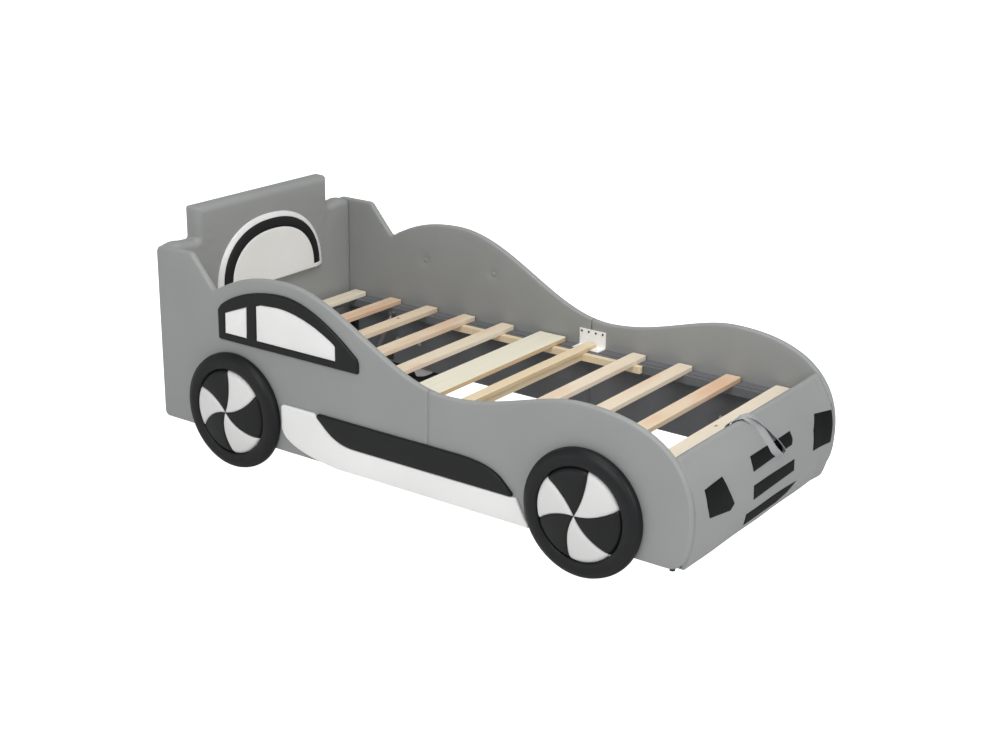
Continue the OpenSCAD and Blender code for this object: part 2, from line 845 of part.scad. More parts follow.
module strut_end(at, turn) {
    translate([at[0], -strut_y, at[1]]) rotate([0, -turn, 0]) children();
}
module eye(r) {
    rotate([90, 0, 0]) cylinder(r = r, h = eye_t + (r < eye_r ? 2 : 0), center = true, $fn = 24);
}
module along(from_x, to_x, r) {
    translate([from_x, 0, 0]) rotate([0, 90, 0]) cylinder(r = r, h = to_x - from_x, $fn = 32);
}

module strut_cylinder() {
    color(dark_steel) strut_end(strut_a, strut_dir) difference() {
        union() {
            eye(eye_r);
            along(0, 16, 3.8);
            along(14, cylinder_len, strut_d / 2);
        }
        eye(stud_r + pin_clear);
        along(20, cylinder_len - 6, strut_d / 2 - 1);
        along(cylinder_len - 7, cylinder_len + 1, rod_d / 2 + 0.3);
    }
}

module strut_rod() {
    color(steel) strut_end(strut_b, strut_dir + 180) difference() {
        union() {
            eye(eye_r);
            along(0, 16, 3.8);
            along(14, rod_len, rod_d / 2);
            along(rod_len - piston_l, rod_len, strut_d / 2 - 2);
        }
        eye(stud_r + pin_clear);
    }
}

// Platform: a steel frame under the slats
tube_w = 20;
tube_h = 25;
tube_xs = [head_face_x + 55, nose_inner_x - 68];

module hollow_x(from_x, to_x, y, w, z, h) {
    translate([from_x, y, z]) difference() {
        cube([to_x - from_x, w, h]);
        translate([-1, rail_wall, rail_wall]) cube([to_x - from_x + 2, w - 2 * rail_wall, h - 2 * rail_wall]);
    }
}

module rail_stud_place() {
    translate([strut_b[0], -rail_y, strut_b[1]]) rotate([-90, 0, 0]) children();
}

module platform_frame() {
    color(steel) {
        for (side = [0, 1]) mirror([0, side, 0]) {
            difference() {
                hollow_x(rail_rear, rail_front, -rail_y - rail_w, rail_w, slat_under - rail_h, rail_h);
                translate([hinge[0], -rail_y - rail_w - 1, hinge[1]]) rotate([-90, 0, 0])
                    cylinder(r = hinge_pin_r + pin_clear, h = rail_w + 2, $fn = 32);
                slat_screw_holes();
                rail_stud_place() translate([0, 0, -rail_w - 1]) cylinder(r = stud_r + hole_gap, h = rail_w + 2, $fn = 24);
            }
            rail_stud_place() {
                stud(rail_y, touch);
                translate([0, 0, -rail_w - touch - 1]) cylinder(r = stud_r, h = rail_w + 3, $fn = 24);
                translate([0, 0, -rail_w - touch - 3]) cylinder(r = 7, h = 3, $fn = 24);
            }
        }
        for (x = tube_xs) translate([x - tube_w / 2, -rail_y, slat_under - tube_h]) difference() {
            cube([tube_w, 2 * rail_y, tube_h]);
            translate([rail_wall, -1, rail_wall])
                cube([tube_w - 2 * rail_wall, 2 * rail_y + 2, tube_h - 2 * rail_wall]);
        }
    }
}

// A board with softened edges that lies across the bed
module soft_rect(w, h, r) {
    offset(r = r, $fn = 16) square([w - 2 * r, h - 2 * r], center = true);
}
module plank(x, w, half = slat_end_y, edge = 3, corner = 7) {
    translate([x, 0, slat_under + slat_t / 2]) intersection() {
        plate_at(half, 2 * half) soft_rect(w, slat_t, edge);
        translate([0, 0, -slat_t]) linear_extrude(2 * slat_t) soft_rect(w, 2 * half, corner);
    }
}

// Middles of a row of slats, spaced evenly from the first to the last
function slat_row(first, last, count) = [for (i = [0:count - 1]) first + (last - first) * i / (count - 1)];
rear_slat_xs = slat_row(head_face_x + head_slat_gap, wide_board_x - board_slat_gap, rear_slats);
front_slat_xs = slat_row(beam_x + beam_slat_gap, nose_inner_x - nose_slat_gap, front_slats);
slat_xs = concat(rear_slat_xs, front_slat_xs);

module slats() {
    color(pine) difference() {
        for (x = slat_xs) plank(x, slat_w);
        slat_screw_holes();
    }
}
module wide_board() {
    color(plywood) difference() {
        plank(wide_board_x, wide_board_w, corner = 4);
        slat_screw_holes();
    }
}
module centre_beam() {
    color(pine) difference() {
        union() {
            plank(beam_x, beam_w, corner = 3);
            translate([beam_x - beam_w / 2 + 7, -joist_y, slat_under - beam_depth])
                cube([beam_w - 14, 2 * joist_y, beam_depth + 1]);
        }
        for (side = [0, 1]) mirror([0, side, 0])
            translate([beam_x - beam_w, -inner_y, slat_under - 1]) cube([2 * beam_w, ledger_w + 1, angle_t + 1]);
        slat_screw_holes();
    }
}

// Joists under the middle slats, beside the rails
joist_y = strut_y - 10;
joist_w = 24;
joist_rear = rear_slat_xs[rear_slats - 2] - 48.5;
joist_front = front_slat_xs[0] + 54;

module joists() {
    color(pine) for (side = [0, 1]) mirror([0, side, 0])
        translate([(joist_rear + joist_front) / 2, -joist_y - joist_w / 2, slat_under - beam_depth])
            linear_extrude(beam_depth) soft_rect(joist_front - joist_rear, joist_w, 7);
}

// Screws that come up through the rails into the slats
slat_screw_xs = concat(slat_xs, [wide_board_x - 36, wide_board_x + 36, beam_x]);

module slat_screw_places() {
    for (side = [0, 1], x = slat_screw_xs) mirror([0, side, 0])
        translate([x, -rail_y - rail_w / 2, slat_under - rail_h]) children();
}
module slat_screw_holes() {
    slat_screw_places() translate([0, 0, -1]) cylinder(r = 2 + hole_gap, h = rail_h + 14, $fn = 12);
}
module slat_screws() {
    color(steel) slat_screw_places() {
        cylinder(r = 2, h = rail_h + 12, $fn = 12);
        translate([0, 0, -2]) cylinder(r = 4.5, h = 2, $fn = 16);
    }
}

// Pull strap: a loop of webbing from under the last slat, over the nose's crest and down its front
strap_t = 2;
strap_gap = 3;
strap_turn_x = nose_inner_x + 27;
strap_tail_x = slat_xs[len(slat_xs) - 1] + slat_w / 2;

module strap_path() {
    intersection() {
        difference() {
            offset(delta = strap_gap + strap_t) nose_section(0);
            offset(delta = strap_gap) nose_section(0);
        }
        union() {
            translate([nose_inner_x - 6, 390]) square([strap_turn_x - nose_inner_x + 6, 120]);
            translate([strap_turn_x - 1, 280]) square([nose_depth, 220]);
        }
    }
    polygon([
        [nose_inner_x - 3, 391], [nose_inner_x - 5, 392], [strap_tail_x - 2, slat_under],
        [strap_tail_x - 12, slat_under], [strap_tail_x - 12, slat_under - strap_t],
        [strap_tail_x - 0.8, slat_under - strap_t]
    ]);
}

// The strap's two legs as seen from the front: one lies flat, the other stands on its edge
module strap_face() {
    polygon([[-62, 500], [-62, 438], [62, 302], [73, 294], [86, 298], [92, 312], [86, 322], [-37, 450], [-37, 500]]);
    polygon([[-24, 500], [-24, 448], [48, 376], [80, 314], [88, 298], [97, 308], [96, 322], [60, 388], [-16, 458],
        [-16, 500]]);
}

module pull_strap() {
    color(webbing_grey) intersection() {
        plate_at(120, 240) strap_path();
        union() {
            for (leg = [[-62, 25], [-24, 8]])
                translate([strap_tail_x - 20, leg[0], slat_under - 10])
                    cube([strap_turn_x - strap_tail_x + 20, leg[1], 140]);
            translate([strap_turn_x - 0.5, 0, 0]) rotate([90, 0, 90]) linear_extrude(nose_depth) strap_face();
        }
    }
}

// Each piece on its own, or all of them
side_board("rear");  // side_board_right_rear
side_cover("rear");  // side_cover_right_rear
tyre(wheel_rear_x);  // tyre_right_rear
hub(wheel_rear_x);  // hub_right_rear
blades(wheel_rear_x, blade_turn_rear);  // blades_right_rear
side_board("front");  // side_board_right_front
side_cover("front");  // side_cover_right_front
tyre(wheel_front_x);  // tyre_right_front
hub(wheel_front_x);  // hub_right_front
blades(wheel_front_x, blade_turn_front);  // blades_right_front
window_frame();  // window_frame_right
window_panes();  // window_panes_right
skirt();  // skirt_right
sill();  // sill_right
ledger();  // ledger_right
hinge_plate();  // hinge_plate_right
strut_base();  // strut_base_right
strut_cylinder();  // strut_cylinder_right
strut_rod();  // strut_rod_right
on_left() side_board("rear");  // side_board_left_rear
on_left() side_cover("rear");  // side_cover_left_rear
on_left() tyre(wheel_rear_x);  // tyre_left_rear
on_left() hub(wheel_rear_x);  // hub_left_rear
on_left() blades(wheel_rear_x, blade_turn_rear);  // blades_left_rear
on_left() side_board("front");  // side_board_left_front
on_left() side_cover("front");  // side_cover_left_front
on_left() tyre(wheel_front_x);  // tyre_left_front
on_left() hub(wheel_front_x);  // hub_left_front
on_left() blades(wheel_front_x, blade_turn_front);  // blades_left_front
on_left() window_frame();  // window_frame_left
on_left() window_panes();  // window_panes_left
on_left() skirt();  // skirt_left
on_left() sill();  // sill_left
on_left() ledger();  // ledger_left
on_left() hinge_plate();  // hinge_plate_left
on_left() strut_base();  // strut_base_left
on_left() strut_cylinder();  // strut_cylinder_left
on_left() strut_rod();  // strut_rod_left
headboard_panel();
headboard_cover();
headboard_band();
headboard_arch();
headboard_pane();
nose_frame();
nose_cover();
headlight_patches();
grille_bars();
seam_brackets();
corner_brackets();
frame_screws();
wheel_bolts();
tuft_buttons();
nose_glides();
platform_frame();
slats();
wide_board();
centre_beam();
joists();
slat_screws();
pull_strap();
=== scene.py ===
import math

import bpy
import numpy as np
from mathutils import Matrix, Vector
from mathutils.geometry import delaunay_2d_cdt


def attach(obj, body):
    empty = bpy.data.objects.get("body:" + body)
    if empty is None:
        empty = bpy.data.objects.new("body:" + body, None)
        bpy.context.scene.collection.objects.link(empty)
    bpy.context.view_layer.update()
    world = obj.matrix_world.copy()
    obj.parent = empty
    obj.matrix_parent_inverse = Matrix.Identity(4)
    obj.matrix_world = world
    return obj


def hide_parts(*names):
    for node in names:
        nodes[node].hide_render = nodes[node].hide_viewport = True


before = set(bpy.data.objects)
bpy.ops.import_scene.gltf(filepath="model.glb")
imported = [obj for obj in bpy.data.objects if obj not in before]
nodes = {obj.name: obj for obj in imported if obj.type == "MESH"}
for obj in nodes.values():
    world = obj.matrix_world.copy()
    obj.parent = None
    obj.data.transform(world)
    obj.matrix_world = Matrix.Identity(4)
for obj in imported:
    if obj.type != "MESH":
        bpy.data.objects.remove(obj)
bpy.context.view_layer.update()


# Camera
# The picture was taken from the right front corner, a little above the panels.
# It was solved from the labelled sizes, and has no shift.
def new_object(name, data):
    """An object with this data, linked to the scene."""
    item = bpy.data.objects.new(name, data)
    bpy.context.scene.collection.objects.link(item)
    return item


CAMERA_PLACE = (3.1487, -4.3835, 2.2444)
CAMERA_AZIMUTH, CAMERA_ELEVATION, CAMERA_ROLL = (math.radians(a) for a in (35.227, 19.292, 0.891))
SENSOR_MM, LENS_MM, CLIP_END = 36, 58.98, 60
back = Vector((
    math.sin(CAMERA_AZIMUTH) * math.cos(CAMERA_ELEVATION),
    -math.cos(CAMERA_AZIMUTH) * math.cos(CAMERA_ELEVATION),
    math.sin(CAMERA_ELEVATION),
))
level = Vector((math.cos(CAMERA_AZIMUTH), math.sin(CAMERA_AZIMUTH), 0))
upward = back.cross(level)
right = level * math.cos(CAMERA_ROLL) + upward * math.sin(CAMERA_ROLL)
upward = back.cross(right)
camera = new_object("camera", bpy.data.cameras.new("camera"))
camera.data.sensor_width, camera.data.lens, camera.data.clip_end = SENSOR_MM, LENS_MM, CLIP_END
camera.matrix_world = Matrix.Translation(CAMERA_PLACE) @ Matrix((right, upward, back)).transposed().to_4x4()
bpy.context.scene.camera = camera


# Studio
# A white floor that runs out of the picture, a white surround, and large soft lights.
# The floor glows a little, as an overexposed paper sweep does.
def linear(code):
    """An sRGB hex colour as linear red, green, blue and alpha."""
    values = [int(code[i:i + 2], 16) / 255 for i in (1, 3, 5)]
    return [v / 12.92 if v <= 0.04045 else ((v + 0.055) / 1.055) ** 2.4 for v in values] + [1]


def add(tree, kind, inputs=None, **settings):
    """Adds a node; an input takes a value or another node's output."""
    node = tree.nodes.new(kind)
    for key, value in settings.items():
        setattr(node, key, value)
    for key, value in (inputs or {}).items():
        if isinstance(value, bpy.types.NodeSocket):
            tree.links.new(value, node.inputs[key])
        else:
            node.inputs[key].default_value = value
    return node


def new_material(name):
    material = bpy.data.materials.new(name)
    material.use_nodes = True
    material.node_tree.nodes.clear()
    return material, material.node_tree


FLOOR_HALF, FLOOR_GLOW, FLOOR_SPILL = 30, 1.0, 0.10
floor_paper, tree = new_material("white_paper_sweep")
seen = add(tree, "ShaderNodeLightPath").outputs["Is Camera Ray"]
strength = add(tree, "ShaderNodeMapRange", {"Value": seen, "To Min": FLOOR_SPILL, "To Max": FLOOR_GLOW})
paper = add(tree, "ShaderNodeBsdfDiffuse", {"Color": linear("#d8d8d8")})
glow = add(tree, "ShaderNodeEmission", {"Color": linear("#ffffff"), "Strength": strength.outputs["Result"]})
both = add(tree, "ShaderNodeAddShader", {0: paper.outputs[0], 1: glow.outputs[0]})
add(tree, "ShaderNodeOutputMaterial", {"Surface": both.outputs[0]})
mesh = bpy.data.meshes.new("floor")
floor_corners = [(x * FLOOR_HALF, y * FLOOR_HALF, 0) for x, y in ((-1, -1), (1, -1), (1, 1), (-1, 1))]
mesh.from_pydata(floor_corners, [], [(0, 1, 2, 3)])
mesh.materials.append(floor_paper)
new_object("floor", mesh)

SKY_LIGHT = 0.45
world = bpy.data.worlds.new("surround")
bpy.context.scene.world = world
world.use_nodes = True
tree = world.node_tree
tree.nodes.clear()
seen = add(tree, "ShaderNodeLightPath").outputs["Is Camera Ray"]
strength = add(tree, "ShaderNodeMapRange", {"Value": seen, "To Min": SKY_LIGHT, "To Max": 1.0})
sky = add(tree, "ShaderNodeBackground", {"Color": linear("#ffffff"), "Strength": strength.outputs["Result"]})
add(tree, "ShaderNodeOutputWorld", {"Surface": sky.outputs[0]})

# Place, aim, width, height and power of each softbox
SOFTBOXES = {
    "softbox_side": ((1.3, -4.2, 3.9), (0.4, -0.1, 0.35), 2.8, 2.0, 86),
    "softbox_low": ((-2.6, -5.2, 1.2), (-0.7, -0.5, 0.40), 2.6, 1.2, 26),
    "softbox_top": ((0.9, -0.4, 4.2), (0.3, 0.0, 0.3), 3.0, 2.4, 60),
    "softbox_front": ((4.3, -0.9, 2.2), (0.7, 0.0, 0.40), 2.6, 2.0, 50),
}
for name, (place, aim, width, height, power) in SOFTBOXES.items():
    light = bpy.data.lights.new(name, "AREA")
    light.shape = "RECTANGLE"
    light.size, light.size_y, light.energy = width, height, power
    lamp = new_object(name, light)
    lamp.location = place
    lamp.rotation_euler = (Vector(place) - Vector(aim)).to_track_quat("Z", "Y").to_euler()
bpy.context.scene.view_settings.view_transform = "Standard"


# Side panels
# Each side is two boards cut as a car's outline, wrapped in foam and grey imitation leather
# and joined at a seam behind the low door line. Two buttons are tufted into each roof hump.
BED_HALF_L, BED_HALF_W, WALL = 1.095, 0.5, 0.025
INNER_Y = BED_HALF_W - WALL
BASE_GAP = 0.102
SEAM_X = 0.124
REAR_HEIGHT = 0.745
EDGE_ROLL, PANEL_STEP = 0.0085, 0.016
# Height of the foam's crown outside and inside, and how far from the edge it rises
PANEL_CROWN, INNER_CROWN = (0.0006, 0.02), (0.0012, 0.03)
HUMP_TUFTS, TUFT_DEPTH, TUFT_R = ((-0.646, 0.556), (-0.323, 0.557)), 0.0085, 0.017
# Real pebbles are about half as wide, and are drawn coarser so that they show
PEBBLE, LEATHER_CLOUD = 0.0022, 0.05


def curve(p0, p1, p2, p3, count):
    """Points on a cubic curve, without its last one."""
    t = np.arange(count)[:, None] / count
    s = 1 - t
    p0, p1, p2, p3 = (np.array(p, float) for p in (p0, p1, p2, p3))
    return list(s**3 * p0 + 3 * s**2 * t * p1 + 3 * s * t**2 * p2 + t**3 * p3)


def rounded(a, p, b, r, count=6):
    """The arc that rounds the corner at p between its neighbours."""
    a, p, b = (np.array(q, float) for q in (a, p, b))
    u, v = (a - p) / np.linalg.norm(a - p), (b - p) / np.linalg.norm(b - p)
    half = math.acos(np.clip(u @ v, -1, 1)) / 2
    centre = p + (u + v) / np.linalg.norm(u + v) * r / math.sin(half)
    arm = p + u * r / math.tan(half) - centre
    turn = (-1 if u[0] * v[1] - u[1] * v[0] > 0 else 1) * (math.pi - 2 * half)
    return [
        centre + (arm[0] * math.cos(w) - arm[1] * math.sin(w), arm[0] * math.sin(w) + arm[1] * math.cos(w))
        for w in (turn * i / count for i in range(count + 1))
    ]


def inset(points, d):
    """Moves an outline inwards, for points that run anticlockwise."""
    p = np.array(points, float)
    e1, e2 = p - np.roll(p, 1, 0), np.roll(p, -1, 0) - p
    n1 = np.stack([-e1[:, 1], e1[:, 0]], 1) / np.linalg.norm(e1, axis=1)[:, None]
    n2 = np.stack([-e2[:, 1], e2[:, 0]], 1) / np.linalg.norm(e2, axis=1)[:, None]
    return p + (n1 + n2) * d / (1 + (n1 * n2).sum(1))[:, None]


VALLEY, REAR_TOP, REAR_CORNER = (-0.816, 0.623), (-0.922, REAR_HEIGHT), (-BED_HALF_L, REAR_HEIGHT)
HUMP, DIP, FENDER, NOSE_TIP = (-0.498, 0.712), (0.1955, 0.459), (0.701, 0.5535), (BED_HALF_L, 0.261)
panel_outline = (
    rounded(REAR_CORNER, (-BED_HALF_L, BASE_GAP), (1.0, BASE_GAP), 0.022)
    + curve((-1.0, BASE_GAP), (-0.4, BASE_GAP), (0.4, BASE_GAP), (1.0, BASE_GAP), 40)
    + curve((1.020, BASE_GAP), (1.070, BASE_GAP), (BED_HALF_L, 0.150), NOSE_TIP, 18)
    + curve(NOSE_TIP, (BED_HALF_L, 0.403), (1.011, FENDER[1]), FENDER, 36)
    + curve(FENDER, (0.550, FENDER[1]), (0.395, DIP[1]), DIP, 28)
    + curve(DIP, (-0.050, DIP[1]), (-0.2436, HUMP[1]), HUMP, 36)
    + curve(HUMP, (-0.6576, HUMP[1]), (-0.733, 0.670), (-0.796, 0.639), 18)
    + rounded((-0.796, 0.639), VALLEY, REAR_TOP, 0.016)
    + rounded(VALLEY, REAR_TOP, REAR_CORNER, 0.024)
    + rounded(REAR_TOP, REAR_CORNER, (-BED_HALF_L, BASE_GAP), 0.026, 8)
)


def cut_at(points, x):
    """Adds a point wherever an outline crosses a line across it, and says which points these are."""
    out, marks = [], []
    for p, q in zip(points, list(points[1:]) + [points[0]]):
        out.append(np.array(p, float))
        if (p[0] - x) * (q[0] - x) < 0:
            marks.append(len(out))
            out.append(np.array(p) + (np.array(q) - np.array(p)) * (x - p[0]) / (q[0] - p[0]))
    return out, marks


seamed_outline, seam_marks = cut_at(panel_outline, SEAM_X)


def half_ring(d, end):
    """The rear or the front half of the panel's outline, moved inwards by d, less at the seam."""
    p = inset(seamed_outline, d)
    low, high = seam_marks
    half = p[low:high + 1] if end == "front" else np.concatenate([p[high:], p[:low + 1]])
    half[[0, -1], 0] = SEAM_X + (1 if end == "front" else -1) * (0.0003 + 0.12 * d)
    return half


def roll_steps(thick, back_r, front_r, count=5):
    """Depth and inset of the rings that round a pad's back and front edges."""
    angles = np.linspace(0, math.pi / 2, count + 1)
    rear = [(back_r * (1 - math.cos(a)), back_r * (1 - math.sin(a))) for a in angles] if back_r else [(0, 0)]
    front = [(thick - front_r * (1 - math.cos(a)), front_r * (1 - math.sin(a))) for a in angles[::-1]]
    return rear + front


def edge_distance(points, loops, closed=True):
    """Distance from each point to the nearest edge of the loops, or of open lines."""
    best = np.full(len(points), 1e9)
    for loop in loops:
        loop = np.array(loop)
        for a, b in zip(loop, np.roll(loop, -1, 0) if closed else loop[1:]):
            d = b - a
            t = np.clip(((points - a) @ d) / max(d @ d, 1e-18), 0, 1)
            best = np.minimum(best, np.linalg.norm(points - a - t[:, None] * d, axis=1))
    return best


def inside(points, loops):
    """Which points lie inside the loops, counted even and odd."""
    odd = np.zeros(len(points), bool)
    for loop in loops:
        loop = np.array(loop)
        for a, b in zip(loop, np.roll(loop, -1, 0)):
            if a[1] == b[1]:
                continue
            crosses = (a[1] > points[:, 1]) != (b[1] > points[:, 1])
            odd ^= crosses & (points[:, 0] < (b[0] - a[0]) * (points[:, 1] - a[1]) / (b[1] - a[1]) + a[0])
    return odd


def filled(loops, step):
    """Triangles that fill the loops with an even mesh: points, then faces."""
    rim = np.concatenate([np.array(loop) for loop in loops])
    low, high = rim.min(0), rim.max(0)
    rows = np.arange(low[1], high[1], step * 0.87)
    grid = np.array([
        (x, y) for i, y in enumerate(rows) for x in np.arange(low[0] + (i % 2) * step / 2, high[0], step)
    ])
    grid = grid[inside(grid, loops)]
    grid = grid[edge_distance(grid, loops) > step * 0.55]
    edges, start = [], 0
    for loop in loops:
        edges += [(start + i, start + (i + 1) % len(loop)) for i in range(len(loop))]
        start += len(loop)
    every = np.concatenate([rim, grid])
    found = delaunay_2d_cdt([Vector(p) for p in every], edges, [], 0, 1e-7)
    origin = np.array([o[0] if o else -1 for o in found[3]])
    triangles = origin[np.array(found[2])]
    triangles = triangles[inside(every[triangles].mean(1), loops)]
    return every, [tuple(int(i) for i in t) for t in triangles]


def bridged(a, b, n):
    """Faces between two rings of n points that start at a and at b."""
    return [(a + i, a + (i + 1) % n, b + (i + 1) % n, b + i) for i in range(n)]


def pad_mesh(rings_of, steps, step, front_relief=None, back_relief=None):
    """A closed pad as points (u, v, depth) and faces.
    rings_of gives a list of loops for an inset; the relief functions raise the two faces."""
    points, faces, starts = [], [], []
    for depth, d in steps:
        loops = rings_of(d)
        starts.append([])
        for loop in loops:
            starts[-1].append((len(points), len(loop)))
            points += [(p[0], p[1], depth) for p in loop]
    for lower, upper in zip(starts, starts[1:]):
        for (a, n), (b, _) in zip(lower, upper):
            faces += bridged(a, b, n)
    for k, relief, sign in ((0, back_relief, -1), (len(steps) - 1, front_relief, 1)):
        loops = rings_of(steps[k][1])
        flat, triangles = filled(loops, step)
        rim_count = sum(len(loop) for loop in loops)
        base = starts[k][0][0]
        inner = flat[rim_count:]
        lift = relief(inner, edge_distance(inner, loops)) if relief else np.zeros(len(inner))
        offset = len(points) - rim_count
        points += [(p[0], p[1], steps[k][0] + sign * h) for p, h in zip(inner, lift)]
        for t in triangles:
            t = [base + i if i < rim_count else offset + i for i in t]
            faces.append(tuple(t) if sign > 0 else tuple(reversed(t)))
    return np.array(points, float), faces


def mesh_of(name, points, faces, material):
    mesh = bpy.data.meshes.new(name)
    mesh.from_pydata([tuple(p) for p in points], [], faces)
    mesh.materials.append(material)
    mesh.polygons.foreach_set("use_smooth", [True] * len(mesh.polygons))
    mesh.validate()
    return mesh


def piece_of(mesh, body, replaced):
    """An object that rides on a body and stands for CAD nodes."""
    piece = new_object(mesh.name, mesh)
    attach(piece, body)
    if replaced:
        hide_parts(*replaced)
    return piece


def make_piece(name, points, faces, material, node, slot, fill=None):
    """A piece of the fixed frame that stands for one CAD node; fill is not used."""
    piece = piece_of(mesh_of(name, points, faces, material), "frame", [node])
    return piece


def against_side(side, points, faces, seat):
    """Points (along, up, outwards) and their faces, set on one side of the bed at seat from its middle."""
    sign = -1 if side == "right" else 1
    placed = np.stack([points[:, 0], sign * (seat + points[:, 2]), points[:, 1]], 1)
    return placed, [f[::-1] for f in faces] if sign > 0 else faces


def maths(tree, operation, *values):
    return add(tree, "ShaderNodeMath", dict(enumerate(values)), operation=operation).outputs[0]


def noise(tree, place, scale, detail, **more):
    inputs = {"Vector": place, "Scale": scale, "Detail": detail, **more}
    return add(tree, "ShaderNodeTexNoise", inputs).outputs["Fac"]


def ranged(tree, value, low, high, to_low=0, to_high=1):
    """A value from one range carried over to another, and held at its ends."""
    limits = {"From Min": low, "From Max": high, "To Min": to_low, "To Max": to_high}
    return add(tree, "ShaderNodeMapRange", {"Value": value, **limits}).outputs["Result"]


def mixed(tree, factor, *colours):
    """Two colours mixed; each is a hex code or another node's output."""
    a, b = (linear(c) if isinstance(c, str) else c for c in colours)
    return add(tree, "ShaderNodeMix", {"Factor": factor, "A": a, "B": b}, data_type="RGBA").outputs["Result"]


def bumped(tree, height, strength, distance):
    relief = add(tree, "ShaderNodeBump", {"Height": height, "Strength": strength, "Distance": distance})
    return relief.outputs["Normal"]


def surface(name):
    """A new material, its tree, and the place on the object."""
    material, tree = new_material(name)
    return material, tree, add(tree, "ShaderNodeTexCoord").outputs["Object"]


def finished(material, tree, inputs):
    """Ends a material with one principled shader."""
    skin = add(tree, "ShaderNodeBsdfPrincipled", inputs)
    add(tree, "ShaderNodeOutputMaterial", {"Surface": skin.outputs[0]})
    return material


def leather(name, colour, shade, roughness, bump=0.12, gloss=0.5):
    """Imitation leather: a coated cloth with an embossed pebble grain and faint creases."""
    material, tree, place = surface(name)
    pebbles = add(tree, "ShaderNodeTexVoronoi", {"Vector": place, "Scale": 1 / PEBBLE}, feature="SMOOTH_F1")
    creases = noise(tree, place, 0.35 / PEBBLE, 4)
    tint = ranged(tree, noise(tree, place, 3.5, 2), 0.3, 0.7)
    return finished(material, tree, {
        "Base Color": mixed(tree, tint, colour, shade),
        "Roughness": maths(tree, "MULTIPLY_ADD", creases, LEATHER_CLOUD, roughness - LEATHER_CLOUD / 2),
        "Normal": bumped(tree, maths(tree, "ADD", pebbles.outputs["Distance"], creases), bump, 0.0006),
        "Specular IOR Level": gloss,
    })


grey_leather = leather("grey_imitation_leather", "#969897", "#929493", 0.50)


def outer_relief(p, edge):
    """The outer face is drawn flat over foam, with faint waves."""
    wave = np.sin(p[:, 0] * 9.1 + p[:, 1] * 5.3) + np.sin(p[:, 0] * 17.7 - p[:, 1] * 13.1 + 1.3) * 0.6
    return (1 - np.exp(-edge / PANEL_CROWN[1])) * (PANEL_CROWN[0] + 0.0004 * wave)


def inner_relief(p, edge):
    """The inner face, with a dimple and short folds round each tufted button."""
    wave = np.sin(p[:, 0] * 8.3 + 0.7) * np.sin(p[:, 1] * 11.9)
    lift = (1 - np.exp(-edge / INNER_CROWN[1])) * (INNER_CROWN[0] + 0.0005 * wave)
    for x, z in HUMP_TUFTS:
        dx, dz = p[:, 0] - x, p[:, 1] - z
        r = np.hypot(dx, dz) + 1e-6
        folds = 1 + 0.28 * np.cos(5 * np.arctan2(dz, dx) + 1.1) * np.exp(-((r - 0.02) / 0.016) ** 2)
        lift -= TUFT_DEPTH * np.exp(-(r / TUFT_R) ** 1.3) * folds
    return lift


side_covers = {}
for side in ("right", "left"):
    for end in ("rear", "front"):
        points, faces = pad_mesh(
            lambda d: [half_ring(d, end)], roll_steps(WALL, EDGE_ROLL, EDGE_ROLL), PANEL_STEP,
            outer_relief, inner_relief
        )
        side_covers[side, end] = make_piece(
            f"side_pad_{side}_{end}", *against_side(side, points, faces, INNER_Y), grey_leather,
            f"side_cover_{side}_{end}", "grey_vinyl", fill=0.9
        )


# Headboard
# One board across the bed with a raised middle, wrapped in thick foam and the same leather. Its top
# and front edges are soft rolls, and the cover creases where the middle rises from the wings.
HEAD_T, HEAD_W, HEAD_H = 0.065, 0.700, 0.860
HEAD_ROLL, HEAD_BACK_ROLL = 0.026, 0.009
HEAD_CROWN, HEAD_CROWN_REACH, CREASE_WIDTH = 0.0025, 0.06, 0.026
HEAD_HALF = INNER_Y - 0.0003
WING_H, WING_BULGE = REAR_HEIGHT - 0.004, 0.006
HEAD_FACE_X = -BED_HALF_L + HEAD_T


def line(a, b, count):
    """Evenly spaced points from a towards b, without b itself."""
    a, b = np.array(a, float), np.array(b, float)
    return [a + (b - a) * i / count for i in range(count)]


def head_ring(d):
    """The headboard's outline moved inwards by d: its upper corners stay sharp, its wings bulge,
    and it is cut square at the foot. At the sides it draws in a little, which leaves a dark seam."""
    half, top, wing, side = HEAD_W / 2 - d, HEAD_H - d, WING_H - d, HEAD_HALF - 0.2 * d
    wing_line = line((side, wing), (half + 0.045, wing), 10)
    wing_top = [p + (0, WING_BULGE * math.sin(math.pi * i / 10)) for i, p in enumerate(wing_line)]
    right_side = (
        line((side, BASE_GAP), (side, wing), 30) + wing_top
        + rounded((side, wing), (half, wing), (half, top), 0.012 + d)
        + line((half, wing + 0.045), (half, top - 0.012), 5)
        + rounded((half, wing), (half, top), (-half, top), max(0.009 - d, 0.0035), 5)
    )
    left_side = [(-p[0], p[1]) for p in right_side[::-1]]
    foot = line((-side + 0.0001, BASE_GAP), (side, BASE_GAP), 50)[1:]
    return [np.array(right_side + line((half - 0.012, top), (-half + 0.012, top), 36) + left_side + foot)]


